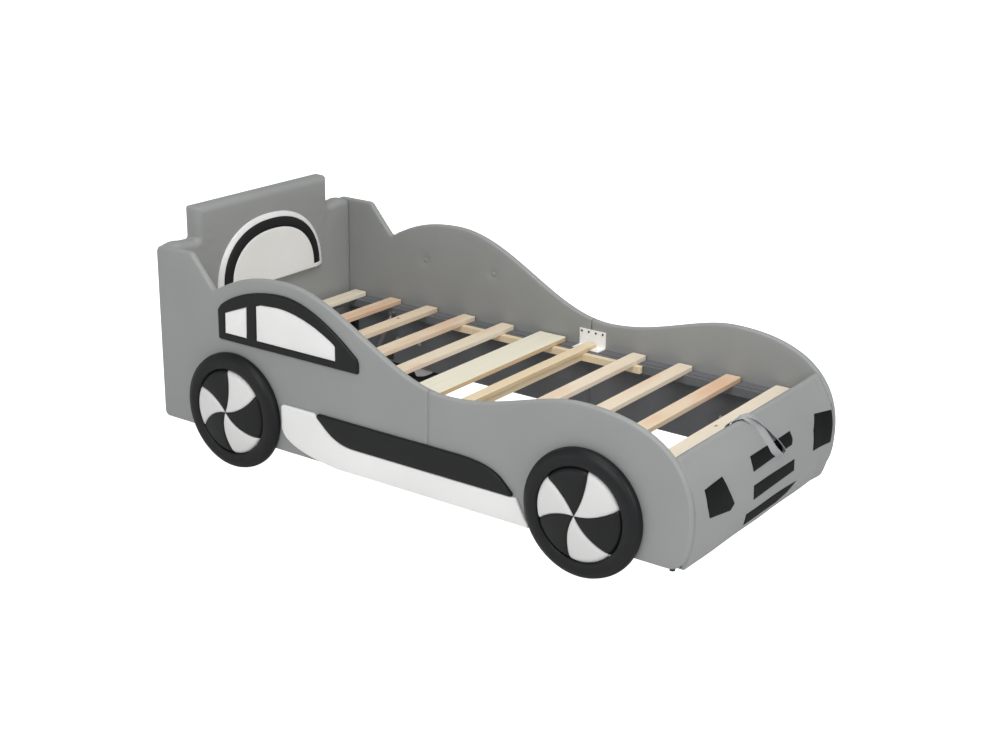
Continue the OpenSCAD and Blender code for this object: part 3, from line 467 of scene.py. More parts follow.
def head_relief(p, edge):
    """The foam's crown, slow waves, and creases that fan out from the upper and the inner corners."""
    y, z = np.abs(p[:, 0]), p[:, 1]
    lift = HEAD_CROWN * (1 - np.exp(-edge / HEAD_CROWN_REACH))
    lift += 0.0008 * np.sin(p[:, 0] * 7.7 + 0.4) * np.sin(z * 9.1)
    for corner, reach, size in (((HEAD_W / 2, WING_H), 0.040, 0.0020), ((HEAD_W / 2, HEAD_H), 0.038, 0.0016)):
        dy, dz = y - corner[0], z - corner[1]
        r, turn = np.hypot(dy, dz) + 1e-6, np.arctan2(-dz, dy)
        fan = np.cos(8 * turn + 0.6) + 0.5 * np.cos(13 * turn + 1.9)
        lift += size * fan * np.exp(-(((r - reach) / CREASE_WIDTH) ** 2))
    fold = (y - HEAD_W / 2 - 0.004 + 0.16 * (WING_H - z)) / 0.012
    return lift - 0.0022 * np.exp(-(fold**2)) * np.clip((z - 0.50) / 0.2, 0, 1) * (z < WING_H)


points, faces = pad_mesh(head_ring, roll_steps(HEAD_T, HEAD_BACK_ROLL, HEAD_ROLL, 8), PANEL_STEP, head_relief)
placed = np.stack([points[:, 2] - BED_HALF_L, points[:, 0], points[:, 1]], 1)
make_piece("headboard_pad", placed, faces, grey_leather, "headboard_cover", "grey_vinyl", fill=0.9)


# Rear window on the headboard
# A cushion sewn to the cover: a silvery band round a black arch, and a pale pane down to the sill.
# It swells from its outer seam like a shallow dome, and the band's feet turn in under the arch.
WINDOW_Y, WINDOW_SILL, ARCH_FOOT = 0.0135, 0.518, 0.534
ARCH_POWER = 2.25
WINDOW_SEAM, WINDOW_SWELL, SWELL_REACH = 0.0045, 0.0175, 0.063
# Half width, height and foot of the arches round the band, the black arch and the pane
ARCHES = ((0.2865, 0.257, WINDOW_SILL), (0.262, 0.221, ARCH_FOOT), (0.2235, 0.184, ARCH_FOOT))

black_leather = leather("black_imitation_leather", "#17181a", "#131416", 0.46, bump=0.10, gloss=0.3)
white_leather = leather("white_imitation_leather", "#f3f3f2", "#ececeb", 0.40, bump=0.07)
silver_leather = leather("silvery_imitation_leather", "#eeeeee", "#dfe0e1", 0.27, bump=0.06)
pale_leather = leather("pale_imitation_leather", "#f0f1ef", "#eaebe8", 0.40, bump=0.07)


def arch(half, height, foot, count=56):
    """A flattened arch, from its right foot over to its left one."""
    a = np.linspace(0, math.pi, count + 1)
    c, s = np.cos(a), np.abs(np.sin(a))
    across = WINDOW_Y + half * np.sign(c) * np.abs(c) ** (2 / ARCH_POWER)
    return list(np.stack([across, foot + height * s ** (2 / ARCH_POWER)], 1))


band_arch, outer_arch, inner_arch = (arch(*sizes) for sizes in ARCHES)
inner_right, inner_left = (inner_arch[0][0], WINDOW_SILL), (inner_arch[-1][0], WINDOW_SILL)


def window_swell(points):
    """Height of the cushion's face over the cover, from the distance to its outer seam."""
    seam = [(band_arch[0][0], 0.40)] + band_arch + [(band_arch[-1][0], 0.40)]
    off = edge_distance(points, [seam], closed=False)
    crown = 0.002 * np.clip((off - SWELL_REACH) / 0.15, 0, 1)
    return WINDOW_SEAM + WINDOW_SWELL * (1 - (1 - np.minimum(off / SWELL_REACH, 1)) ** 2) + crown


def window_patch(name, loop, roll, material, slot, node):
    """A part of the cushion with its own rolled edges, so that a groove shows where two meet."""
    thick = WINDOW_SEAM + WINDOW_SWELL
    points, faces = pad_mesh(lambda d: [inset(loop, d)], roll_steps(thick, 0, roll, 4), 0.010)
    raised = np.maximum(window_swell(points[:, :2]) - (thick - points[:, 2]), 0.0004)
    depth = np.where(points[:, 2] > 0, raised, 0)
    placed = np.stack([HEAD_FACE_X + 0.0008 + depth, points[:, 0], points[:, 1]], 1)
    make_piece(name, placed, faces, material, node, slot, fill=0.8)


band_loop = (
    band_arch + line(band_arch[-1], inner_left, 6)[1:] + line(inner_left, inner_arch[-1], 3)
    + line(inner_arch[-1], outer_arch[-1], 4) + outer_arch[::-1] + line(outer_arch[0], inner_arch[0], 4)[1:]
    + line(inner_arch[0], inner_right, 3) + line(inner_right, band_arch[0], 6)
)
arch_loop = (
    outer_arch + line(outer_arch[-1], inner_arch[-1], 4)[1:]
    + inner_arch[::-1] + line(inner_arch[0], outer_arch[0], 4)[1:]
)
pane_loop = (
    inner_arch + line(inner_arch[-1], inner_left, 3)[1:]
    + line(inner_left, inner_right, 44) + line(inner_right, inner_arch[0], 3)
)
window_patch("rear_window_band", band_loop, 0.0030, silver_leather, "white_vinyl", "headboard_band")
window_patch("rear_window_arch", arch_loop, 0.0030, black_leather, "black_vinyl", "headboard_arch")
window_patch("rear_window_pane", pane_loop, 0.0045, pale_leather, "pale_vinyl", "headboard_pane")


# Nose
# A rolled front between the side panels: thin board bent over ribs, padded and covered.
# Two lamps and three grille bars of black leather are sewn flat to its face.
NOSE_INNER_X, NOSE_CREST_R = BED_HALF_L - 0.112, 0.012
NOSE_HALF = INNER_Y - 0.0003
NOSE_FOOT, NOSE_BELLY, NOSE_BROW = (1.0625, 0.097), (1.0905, 0.262), (1.035, 0.430)
NOSE_PEAK, NOSE_BACK_TOP, NOSE_BACK_FOOT = (1.0247, 0.4513), (NOSE_INNER_X, 0.4221), (NOSE_INNER_X, 0.097)

nose_front = (
    curve(NOSE_FOOT, (1.078, 0.130), (1.0905, 0.185), NOSE_BELLY, 14)
    + curve(NOSE_BELLY, (1.0905, 0.345), (1.062, 0.385), NOSE_BROW, 22) + [np.array(NOSE_BROW)]
)
foot_roll = rounded(NOSE_BACK_FOOT, NOSE_FOOT, nose_front[1], 0.006, 4)
crest = rounded(NOSE_BROW, NOSE_PEAK, NOSE_BACK_TOP, NOSE_CREST_R, 10)
back_roll = rounded(NOSE_PEAK, NOSE_BACK_TOP, NOSE_BACK_FOOT, 0.006, 4)
heel = np.array(NOSE_BACK_FOOT)
nose_profile = np.array(
    line(heel + (0.004, 0), foot_roll[0], 8) + foot_roll + nose_front[1:]
    + crest + line(crest[-1], back_roll[0], 4)[1:]
    + back_roll + line(back_roll[-1], heel + (0, 0.004), 24)[1:] + [heel + (0, 0.004)]
)


def swept(profile, stations, relief=None):
    """A closed bar: the XZ profile carried along Y, with flat ends. Relief moves points outwards."""
    count = len(profile)
    tangent = np.roll(profile, -1, 0) - np.roll(profile, 1, 0)
    normal = np.stack([tangent[:, 1], -tangent[:, 0]], 1)
    normal /= np.linalg.norm(normal, axis=1)[:, None]
    points, faces = [], []
    for k, y in enumerate(stations):
        shift = relief(profile, y) if relief else np.zeros(count)
        ring = profile + normal * shift[:, None]
        points += [(p[0], y, p[1]) for p in ring]
        if k:
            a, b = (k - 1) * count, k * count
            faces += [(a + i, b + i, b + (i + 1) % count, a + (i + 1) % count) for i in range(count)]
    end = (len(stations) - 1) * count
    faces += [tuple(range(count)), tuple(end + i for i in reversed(range(count)))]
    return np.array(points), faces


FAR_SWELL, FAR_SWELL_FROM, FAR_SWELL_OVER = 0.0045, 0.39, 0.06
RIGHT_GROOVE, LEFT_GROOVE, GROOVE_REACH = 0.012, 0.0025, 0.0048
# Place across the bed, width, slant and depth of the creases over the crest
NOSE_CREASES = (
    (0.441, 0.006, 0.10, 0.0030), (0.412, 0.009, -0.20, 0.0020),
    (-0.445, 0.006, 0.10, 0.0022), (-0.415, 0.010, 0.25, 0.0014),
)
CREASE_Z, CREASE_REACH = 0.425, 0.035


def far_swell(y):
    """More padding towards the left end, where the nose comes out flush with the side panel's edge."""
    return FAR_SWELL * np.clip((y - FAR_SWELL_FROM) / FAR_SWELL_OVER, 0, 1)


def nose_relief(profile, y):
    """The nose's padding: drawn in to a groove at the side panels, with slow waves and creased corners."""
    x, z = profile[:, 0], profile[:, 1]
    to_end = NOSE_HALF - abs(y)
    face = np.clip((x - NOSE_INNER_X) / 0.02, 0, 1)
    groove = RIGHT_GROOVE if y < 0 else LEFT_GROOVE
    shift = (0.0014 + far_swell(y) - groove * math.exp(-((to_end / GROOVE_REACH) ** 1.6))) * face
    shift += 0.0007 * np.sin(y * 21 + z * 17) * face
    for place, width, slant, depth in NOSE_CREASES:
        across = (y - place - slant * (z - 0.42)) / width
        shift -= depth * np.exp(-(across**2)) * np.exp(-(((z - CREASE_Z) / CREASE_REACH) ** 2))
    return shift


stations = np.concatenate([
    [-NOSE_HALF, -NOSE_HALF + 0.002, -NOSE_HALF + 0.005, -NOSE_HALF + 0.009],
    np.linspace(-NOSE_HALF + 0.014, NOSE_HALF - 0.014, 112),
    [NOSE_HALF - 0.009, NOSE_HALF - 0.005, NOSE_HALF - 0.002, NOSE_HALF],
])
points, faces = swept(nose_profile, stations, nose_relief)
make_piece("nose_pad", points, faces, grey_leather, "nose_cover", "grey_vinyl", fill=0.9)


def on_nose(y, z, rise):
    """Points on the nose's face at y and z, raised along its normal."""
    front_x, front_z = np.array(nose_front).T
    x, above, below = (np.interp(z + dz, front_z, front_x) for dz in (0, 0.002, -0.002))
    slope = (above - below) / 0.004
    size, rise = np.sqrt(1 + slope**2), rise + far_swell(y)
    return np.stack([x + rise / size, y, z - rise * slope / size], 1)


matt_leather = leather("matt_black_imitation_leather", "#111213", "#0e0f10", 0.62, gloss=0.10)


def nose_patch(name, node, corners):
    """A flat patch of black leather with a turned edge, laid on the nose's curve."""
    loop = []
    for a, b in zip(corners, corners[1:] + corners[:1]):
        loop += line(a, b, max(2, int(math.dist(a, b) / 0.006)))
    middle = np.mean(loop, 0)
    if sum(a[0] * b[1] - a[1] * b[0] for a, b in zip(loop, loop[1:] + loop[:1])) < 0:
        loop = loop[::-1]

    def ring(d):
        p = np.array(loop)
        away = p - middle
        return [p - away / np.linalg.norm(away, axis=1)[:, None] * d]

    points, faces = pad_mesh(ring, roll_steps(0.0030, 0, 0.0010, 3), 0.008)
    make_piece(name, on_nose(*points.T), faces, matt_leather, node, "black_vinyl")


nose_patch("lamp_right", "headlight_patches", (
    (-0.403, 0.339), (-0.396, 0.287), (-0.379, 0.243), (-0.245, 0.221), (-0.221, 0.236), (-0.261, 0.292),
    (-0.293, 0.345),
))
nose_patch("lamp_left", "headlight_patches", (
    (0.334, 0.232), (0.458, 0.226), (0.464, 0.280), (0.463, 0.336), (0.348, 0.354), (0.328, 0.306),
))
nose_patch("grille_upper", "grille_bars", (
    (-0.100, 0.300), (0.167, 0.306), (0.174, 0.322), (0.165, 0.350), (-0.108, 0.350), (-0.106, 0.328),
))
nose_patch("grille_middle", "grille_bars", (
    (-0.087, 0.201), (0.196, 0.207), (0.191, 0.230), (0.188, 0.250), (-0.096, 0.252), (-0.093, 0.229),
))
nose_patch("grille_lower", "grille_bars", (
    (-0.112, 0.120), (0.109, 0.120), (0.185, 0.132), (0.236, 0.155), (0.137, 0.159), (0.021, 0.161),
    (-0.120, 0.161),
))


# Wheels
# Each wheel is a foam ring in black leather round a domed cushion of six sewn wedges, three black and
# three white, that turn as they run out. It is bolted to the side panel and stands on the floor.
WHEEL_R, WHEEL_OUT, HUB_R, HUB_RIM, HUB_BULGE = 0.210, 0.042, 0.153, 0.038, 0.018
WHEEL_Z = 0.2095
WHEEL_X = {"rear": -0.725, "front": 0.729}
BLADE_TURN = {"rear": 35, "front": 21}
BLADE_SPAN, BLADE_TWIST = 58, {"rear": 27, "front": 20}
SEAMS_MEET = (-0.0055, 0.0020)
# Height and reach of a wedge's puff, of the groove at its seams and of its roll at the rim
PUFF, SEAM, RIM_ROLL = (0.0022, 0.014), (0.0030, 0.0022), (0.009, 0.0055)
DOME_R = (HUB_R**2 + HUB_BULGE**2) / (2 * HUB_BULGE)

tyre_profile = (
    line((HUB_R + 0.0005, 0.0), (WHEEL_R - 0.006, 0.0), 6)
    + curve((WHEEL_R - 0.006, 0), (WHEEL_R - 0.002, 0), (WHEEL_R, 0.004), (WHEEL_R, 0.012), 6)
    + curve((WHEEL_R, 0.012), (WHEEL_R, 0.029), (WHEEL_R - 0.014, WHEEL_OUT),
            (WHEEL_R - 0.032, WHEEL_OUT), 16)
    + curve((WHEEL_R - 0.032, WHEEL_OUT), (HUB_R + 0.0125, WHEEL_OUT), (HUB_R + 0.0005, WHEEL_OUT - 0.002),
            (HUB_R + 0.0005, HUB_RIM - 0.008), 14)
)
# A thin cord is sewn into the seam near the tyre's outer edge
TYRE_PIPING = {17: -0.0010, 18: 0.0013, 19: -0.0010}


def set_wheel(side, end, points, faces):
    """A wheel's points, with its axis along their third value, put in place and kept above the floor."""
    points = points + (WHEEL_X[end], WHEEL_Z, 0)
    points[:, 1] = np.maximum(points[:, 1], 0)
    return against_side(side, points, faces, BED_HALF_W)


def tyre_mesh(count=144):
    """The ring, with faint ripples where the leather is gathered on the inner edge."""
    profile = np.array(tyre_profile)
    for i, size in TYRE_PIPING.items():
        away = profile[i] - (WHEEL_R - 0.030, 0.008)
        profile[i] += away / np.linalg.norm(away) * size
    points, faces, n = [], [], len(profile)
    for k in range(count):
        a = 2 * math.pi * k / count
        ripple = 0.0004 * math.sin(a * 23) + 0.0003 * math.sin(a * 41 + 1)
        for r, z in profile:
            gather = ripple * max(0, 1 - (r - HUB_R) / 0.03) * (z > 0.01)
            points.append(((r + gather) * math.cos(a), (r + gather) * math.sin(a), z + gather))
        faces += bridged(k * n, (k + 1) % count * n, n)
    return np.array(points), faces


def wedge_mesh(start, span, twist, rows=26, columns=22):
    """One sewn wedge of the hub: puffed between its seams, closed at the back."""
    radii = 0.003 + (HUB_R - 0.0035) * np.linspace(0, 1, rows) ** 0.85
    r, u = (grid.ravel() for grid in np.meshgrid(radii, np.linspace(0, 1, columns), indexing="ij"))
    angle = np.radians(start + span * u - twist * (1 - r / HUB_R))
    to_seam = np.minimum(u, 1 - u) * math.radians(span) * r
    dome = HUB_RIM + HUB_BULGE - DOME_R + np.sqrt(DOME_R**2 - r * r)
    puff = PUFF[0] * (1 - np.exp(-to_seam / PUFF[1]))
    seam = SEAM[0] * np.exp(-((to_seam / SEAM[1]) ** 2))
    roll = RIM_ROLL[0] * np.exp(-(((HUB_R - r) / RIM_ROLL[1]) ** 1.4))
    aside = 1 - (r / HUB_R) ** 2
    x, y = r * np.cos(angle) + SEAMS_MEET[0] * aside, r * np.sin(angle) + SEAMS_MEET[1] * aside
    levels = (np.full(len(r), 0.0005), dome + (puff - seam) - roll)
    points, faces = np.concatenate([np.stack([x, y, z], 1) for z in levels]), []
    top = rows * columns

    def at(level, i, j):
        return level * top + i * columns + j

    for i in range(rows - 1):
        for j in range(columns - 1):
            faces.append((at(1, i, j), at(1, i + 1, j), at(1, i + 1, j + 1), at(1, i, j + 1)))
            faces.append((at(0, i, j), at(0, i, j + 1), at(0, i + 1, j + 1), at(0, i + 1, j)))
        for j, flip in ((0, False), (columns - 1, True)):
            wall = (at(0, i, j), at(0, i + 1, j), at(1, i + 1, j), at(1, i, j))
            faces.append(tuple(reversed(wall)) if flip else wall)
    for j in range(columns - 1):
        faces.append((at(0, rows - 1, j), at(0, rows - 1, j + 1), at(1, rows - 1, j + 1), at(1, rows - 1, j)))
        faces.append((at(0, 0, j), at(1, 0, j), at(1, 0, j + 1), at(0, 0, j + 1)))
    return points, faces


def joined(parts):
    """Several meshes as one list of points and faces."""
    points, faces, start = [], [], 0
    for p, f in parts:
        points.append(p)
        faces += [tuple(start + i for i in face) for face in f]
        start += len(p)
    return np.concatenate(points), faces


wheel_white = leather("white_wheel_leather", "#dfdfde", "#d8d8d7", 0.42, bump=0.07)
for side in ("right", "left"):
    for end in ("rear", "front"):
        make_piece(f"tyre_pad_{side}_{end}", *set_wheel(side, end, *tyre_mesh()), black_leather,
                   f"tyre_{side}_{end}", "black_vinyl", fill=0.95)
        turn = BLADE_TURN[end]
        for colour, material, first, span, node in (
            ("white", wheel_white, turn, BLADE_SPAN, "blades"),
            ("black", black_leather, turn + BLADE_SPAN, 120 - BLADE_SPAN, "hub"),
        ):
            wedges = joined([wedge_mesh(first + 120 * k, span, BLADE_TWIST[end]) for k in range(3)])
            make_piece(f"hub_{colour}_{side}_{end}", *set_wheel(side, end, *wedges), material,
                       f"{node}_{side}_{end}", f"{colour}_vinyl", fill=0.9)


# Side trim
# A black padded window frame with two white panes on the roof hump, a white skirt between
# the wheels and a black sill above it, all stapled to the panel's outer face.
TRIM_T, SILL_T, PANE_T = 0.011, 0.014, 0.0075
TRIM_CROWN_REACH, TRIM_STEP = 0.012, 0.012
WINDOW_AT = np.array((-0.4825, 0.7195))


def by_hump(points):
    return [np.array(p) + WINDOW_AT for p in points]


FRAME_LEFT, FRAME_RIGHT, FRAME_SILL, FRAME_TOP = -0.309, 0.323, -0.259, -0.051
frame_loop = by_hump(
    rounded((FRAME_LEFT, -0.144), (FRAME_LEFT, FRAME_SILL), (FRAME_RIGHT, FRAME_SILL), 0.008, 4)
    + line((FRAME_LEFT + 0.02, FRAME_SILL), (FRAME_RIGHT - 0.02, FRAME_SILL), 40)
    + rounded((FRAME_LEFT, FRAME_SILL), (FRAME_RIGHT, FRAME_SILL), (FRAME_RIGHT, -0.211), 0.008, 4)
    + [(FRAME_RIGHT, -0.236), (FRAME_RIGHT, -0.222)]
    + curve((FRAME_RIGHT - 0.006, -0.208), (FRAME_RIGHT - 0.105, -0.122), (0.095, FRAME_TOP),
            (-0.015, FRAME_TOP), 34)
    + curve((-0.015, FRAME_TOP), (-0.115, FRAME_TOP), (-0.235, -0.082), (FRAME_LEFT + 0.006, -0.140), 24)
    + [(FRAME_LEFT, -0.152)]
    + line((FRAME_LEFT, -0.165), (FRAME_LEFT, FRAME_SILL + 0.014), 6)
)
PANE_SILL = FRAME_SILL + 0.025


def dense(corners, step=0.010):
    """Corner points with even points added along the straight stretches."""
    loop = []
    for a, b in zip(corners, corners[1:] + corners[:1]):
        loop += line(a, b, max(1, round(math.dist(a, b) / step)))
    return loop


rear_pane = dense(by_hump([(-0.278, PANE_SILL), (-0.176, PANE_SILL), (-0.172, -0.120), (-0.276, -0.160)]))
front_pane = dense(by_hump(
    [(-0.130, PANE_SILL), (0.225, PANE_SILL), (0.225, -0.183)]
    + curve((0.220, -0.177), (0.150, -0.134), (0.060, -0.098), (-0.030, -0.097), 14)
    + [(-0.030, -0.097), (-0.105, -0.101), (-0.128, -0.109)]
))


def side_pad(name, node, side, loops, thick, roll, material, slot, fill=0.8, crown=0.0012):
    """A pad on the outer face of a side panel; loops after the first are holes."""
    def ring(d):
        return [inset(loops[0], d)] + [inset(loop[::-1], d) for loop in loops[1:]]

    def relief(p, edge):
        wave = np.sin(p[:, 0] * 23.0 + p[:, 1] * 31.0)
        return (1 - np.exp(-edge / TRIM_CROWN_REACH)) * (crown + 0.0003 * wave)

    points, faces = pad_mesh(ring, roll_steps(thick, 0, roll, 5), TRIM_STEP, relief)
    placed, faces = against_side(side, points, faces, BED_HALF_W + 0.0002)
    make_piece(f"{name}_{side}", placed, faces, material, f"{node}_{side}", slot, fill)


SILL_Z, SILL_H, TRIM_GAP = 0.281, 0.091, 0.001
SKIRT_REAR, SKIRT_FRONT = WHEEL_X["rear"] + WHEEL_R + 0.0092, WHEEL_X["front"] - WHEEL_R + 0.0095
SILL_REAR, SILL_TIP, SILL_BASE = SKIRT_REAR + 0.1545, SKIRT_FRONT - 0.0545, SILL_Z - SILL_H
SKIRT_BASE = BASE_GAP - 0.001


def sill_curve(d, count=14):
    bend = curve((0.033, 0.057), (0.064, 0.028), (0.102, 0), (0.174, 0), count)
    return [(SILL_REAR + p[0] - d, SILL_BASE + p[1] - d) for p in bend]


sill_loop = (
    sill_curve(0)
    + line((SILL_REAR + 0.174, SILL_BASE), (SILL_TIP - 0.03, SILL_BASE), 40)
    + rounded((0, SILL_BASE), (SILL_TIP, SILL_BASE), (SILL_TIP - 0.056, SILL_BASE + 0.052), 0.007, 5)
    + curve((SILL_TIP - 0.056, SILL_BASE + 0.052), (SILL_TIP - 0.098, SILL_Z - 0.009),
            (SILL_TIP - 0.158, SILL_Z), (SILL_TIP - 0.243, SILL_Z), 16)
    + line((SILL_TIP - 0.243, SILL_Z), (SILL_REAR + 0.03, SILL_Z), 36)
    + rounded((SILL_TIP - 0.243, SILL_Z), (SILL_REAR - 0.006, SILL_Z), sill_curve(0)[0], 0.008, 5)
)
skirt_loop = (
    line((SKIRT_REAR + 0.250, SKIRT_BASE), (SKIRT_FRONT, SKIRT_BASE), 54)
    + [(SKIRT_FRONT, SKIRT_BASE), (SKIRT_FRONT - 0.003, SKIRT_BASE + 0.012)]
    + curve((SKIRT_FRONT - 0.014, SKIRT_BASE + 0.025), (SKIRT_FRONT - 0.028, SKIRT_BASE + 0.049),
            (SKIRT_FRONT - 0.039, SILL_BASE - 0.018), (SKIRT_FRONT - 0.050, SILL_BASE - TRIM_GAP), 8)
    + line((SKIRT_FRONT - 0.050, SILL_BASE - TRIM_GAP), (SILL_REAR + 0.174, SILL_BASE - TRIM_GAP), 40)
    + sill_curve(TRIM_GAP)[::-1]
    + line((SILL_REAR - 0.008, SILL_Z - 0.001), (SKIRT_REAR + 0.008, SILL_Z - 0.001), 12)
    + [(SKIRT_REAR + 0.008, SILL_Z - 0.001)]
    + line((SKIRT_REAR, SILL_Z - 0.009), (SKIRT_REAR, SILL_BASE + 0.006), 6)
    + curve((SKIRT_REAR, SILL_BASE + 0.006), (SKIRT_REAR + 0.006, SKIRT_BASE + 0.049),
            (SKIRT_REAR + 0.080, SKIRT_BASE + 0.015), (SKIRT_REAR + 0.250, SKIRT_BASE), 22)
)
for side in ("right", "left"):
    side_pad("window_pad", "window_frame", side, [frame_loop, rear_pane, front_pane], TRIM_T, 0.006,
             black_leather, "black_vinyl")
    for place, loop in (("rear", rear_pane), ("front", front_pane)):
        side_pad(f"window_pane_{place}", "window_panes", side, [loop], PANE_T, 0.004, white_leather,
                 "white_vinyl", fill=0.6, crown=0.0018)
    side_pad("skirt_pad", "skirt", side, [skirt_loop], TRIM_T, 0.0045, white_leather, "white_vinyl")
    side_pad("sill_pad", "sill", side, [sill_loop], SILL_T, 0.006, black_leather, "black_vinyl", crown=0.002)


# Tufted buttons
# Four buttons hold the foam of the roof humps down: pressed shells with the grey leather turned
# over them, pulled in by a cord through the board.
BUTTON_SINK = 0.0066
BUTTON_PROFILE = (
    (0, 0), (0.0088, 0), (0.0098, 0.0009), (0.0098, 0.0021), (0.0086, 0.0036), (0.0060, 0.0049),
    (0.0030, 0.0056), (0, 0.0058)
)


def revolved(profile, count=28):
    """A closed turned shape: the profile of radius and height starts and ends on its axis."""
    points, faces = [(0.0, 0.0, profile[0][1])], [(0, 1 + (k + 1) % count, 1 + k) for k in range(count)]
    turns = [2 * math.pi * k / count for k in range(count)]
    for i, (r, h) in enumerate(profile[1:-1]):
        points += [(r * math.cos(a), r * math.sin(a), h) for a in turns]
        b = 1 + i * count
        faces += bridged(b - count, b, count) if i else []
    points.append((0.0, 0.0, profile[-1][1]))
    faces += [(b + k, b + (k + 1) % count, b + count) for k in range(count)]
    return np.array(points), faces


button, button_faces = revolved(BUTTON_PROFILE)
button, button_faces = button * (1, 1, -1), [f[::-1] for f in button_faces]
buttons = [
    against_side(side, button + (x, z, 0), button_faces, INNER_Y + BUTTON_SINK)
    for side in ("right", "left") for x, z in HUMP_TUFTS
]
make_piece("covered_buttons", *joined(buttons), grey_leather, "tuft_buttons", "grey_vinyl")


# Ledgers, and painted shade below them
# Timber strips screwed along the side panels carry the slat ends. They are wrapped in dark grey
# woven cloth. The panels' inner faces below them take the same cloth in another grey, darker than
# the leather, as painted shade under the slats.
LEDGER_UNDER, LEDGER_TOP = 0.337, 0.362
# A wave texture of scale 1 repeats at this distance, in metres
WAVE_UNIT = 0.314
# Real threads are 0.5 mm apart, and are drawn coarser
THREAD = 0.0012


def waves(tree, place, period, distortion, **more):
    inputs = {"Vector": place, "Scale": WAVE_UNIT / period, "Distortion": distortion, **more}
    return add(tree, "ShaderNodeTexWave", inputs).outputs["Fac"]


def cloth(name, colour, shade):
    """Plain-woven polyester: dull, with crossed threads."""
    material, tree, place = surface(name)
    apart = add(tree, "ShaderNodeSeparateXYZ", {"Vector": place}).outputs
    rise = maths(tree, "ADD", apart["Y"], apart["Z"])
    turned = add(tree, "ShaderNodeCombineXYZ", {"X": rise, "Y": apart["X"]}).outputs[0]
    weave = maths(tree, "MULTIPLY", waves(tree, place, THREAD, 0.6), waves(tree, turned, THREAD, 0.6))
    uneven = maths(tree, "MULTIPLY", weave, noise(tree, place, 30, 4))
    return finished(material, tree, {
        "Base Color": mixed(tree, uneven, colour, shade), "Roughness": 0.92, "Sheen Weight": 0.15,
        "Normal": bumped(tree, weave, 0.25, 0.0005),
    })


def finish_nodes(material, *names):
    """Gives CAD pieces their material."""
    for name in names:
        for place in nodes[name].material_slots:
            place.material = material


wrap_cloth = cloth("dark_wrap_cloth", "#5c5e62", "#4c4e52")
# A darker woven cloth for the panels' lower inner faces: painted shade under the slats
painted_shade_cloth = cloth("grey_cloth_painted_shade", "#6a6c70", "#5e6064")
finish_nodes(wrap_cloth, "ledger_right", "ledger_left")
# Inner faces below the ledgers take the darker cloth, which paints the shade under the slats
for pad in side_covers.values():
    pad.data.materials.append(painted_shade_cloth)
    for face in pad.data.polygons:
        if abs(face.center.y) < INNER_Y + 0.004 and face.center.z < (LEDGER_UNDER + LEDGER_TOP) / 2:
            face.material_index = 1


# Slats
# Nine sawn pine slats lie across the bed, with rounded ends and softened edges. Each is cut from
# another plank, so each has its own tone and grain; the last has a small knot.
SLAT_W, SLAT_T, SLAT_HALF, SLAT_UNDER, SLAT_CORNER, SLAT_EDGE = 0.058, 0.018, 0.465, 0.362, 0.008, 0.0022
# Middle of each slat and its tone, from straw to reddish
SLATS = (
    (-0.966, 0.15), (-0.7845, 0.80), (-0.603, 0.74), (-0.4215, 0.60), (-0.240, 0.40),
    (0.338, 0.34), (0.528, 0.48), (0.718, 0.95), (0.908, 0.05),
)
KNOTS = ((0.903, -0.008), (-0.611, 0.262), (0.345, -0.301))
# Growth rings are 3 mm apart, and are drawn wider
RING_STEP = 0.0075


def vector_maths(tree, operation, *values):
    return add(tree, "ShaderNodeVectorMath", dict(enumerate(values)), operation=operation).outputs


def stretched(tree, place, *scale):
    return add(tree, "ShaderNodeMapping", {"Vector": place, "Scale": scale}).outputs[0]


def wood(name, pale, tan, ruddy, line_colour, knots=()):
    """Sawn pine: growth rings and fibres run along Y, and shift with each board's own tone."""
    material, tree, place = surface(name)
    tone = add(tree, "ShaderNodeAttribute", attribute_name="tone").outputs["Fac"]
    own = add(tree, "ShaderNodeCombineXYZ", {"Y": tone, "Z": tone}).outputs[0]
    shifted = vector_maths(tree, "MULTIPLY_ADD", own, (0, 23.0, 5.0), place)[0]
    along = stretched(tree, shifted, 1, 0.07, 0.6)
    rings = waves(tree, along, RING_STEP, 5.0, Detail=2.0, **{"Detail Scale": 0.35})
    fibre = noise(tree, stretched(tree, shifted, 1, 0.03, 1), 900, 3)
    heart = ranged(tree, noise(tree, stretched(tree, shifted, 1, 0.25, 1), 14, 2), 0.45, 0.62)
    base = mixed(tree, tone, pale, tan)
    warm = mixed(tree, maths(tree, "MULTIPLY", heart, tone), base, ruddy)
    soft = maths(tree, "MULTIPLY", maths(tree, "POWER", rings, 3.0), fibre)
    colour = mixed(tree, soft, warm, line_colour)
    for x, y in knots:
        away = vector_maths(tree, "SUBTRACT", place, (x, y, SLAT_UNDER + SLAT_T))[0]
        squeezed = vector_maths(tree, "MULTIPLY", away, (1, 0.55, 0.5))[0]
        distance = vector_maths(tree, "LENGTH", squeezed)["Value"]
        colour = mixed(tree, ranged(tree, distance, 0.0025, 0.0065, 0.85, 0.0), colour, "#6b4a2b")
    return finished(material, tree, {
        "Base Color": colour, "Roughness": maths(tree, "MULTIPLY_ADD", fibre, 0.2, 0.52),
        "Normal": bumped(tree, soft, 0.25, 0.0006),
    })


def geometry_tree(name, **kinds):
    """A Geometry Nodes tree whose inputs have names; a kind is Float, Int or Material."""
    tree = bpy.data.node_groups.new(name, "GeometryNodeTree")
    tree.interface.new_socket("Geometry", in_out="INPUT", socket_type="NodeSocketGeometry")
    tree.interface.new_socket("Geometry", in_out="OUTPUT", socket_type="NodeSocketGeometry")
    for key, kind in kinds.items():
        tree.interface.new_socket(key, in_out="INPUT", socket_type=f"NodeSocket{kind}")
    return tree, add(tree, "NodeGroupInput").outputs


def built(tree, kind, inputs, **settings):
    """What a geometry node makes of its inputs."""
    return add(tree, f"GeometryNode{kind}", inputs, **settings).outputs[0]


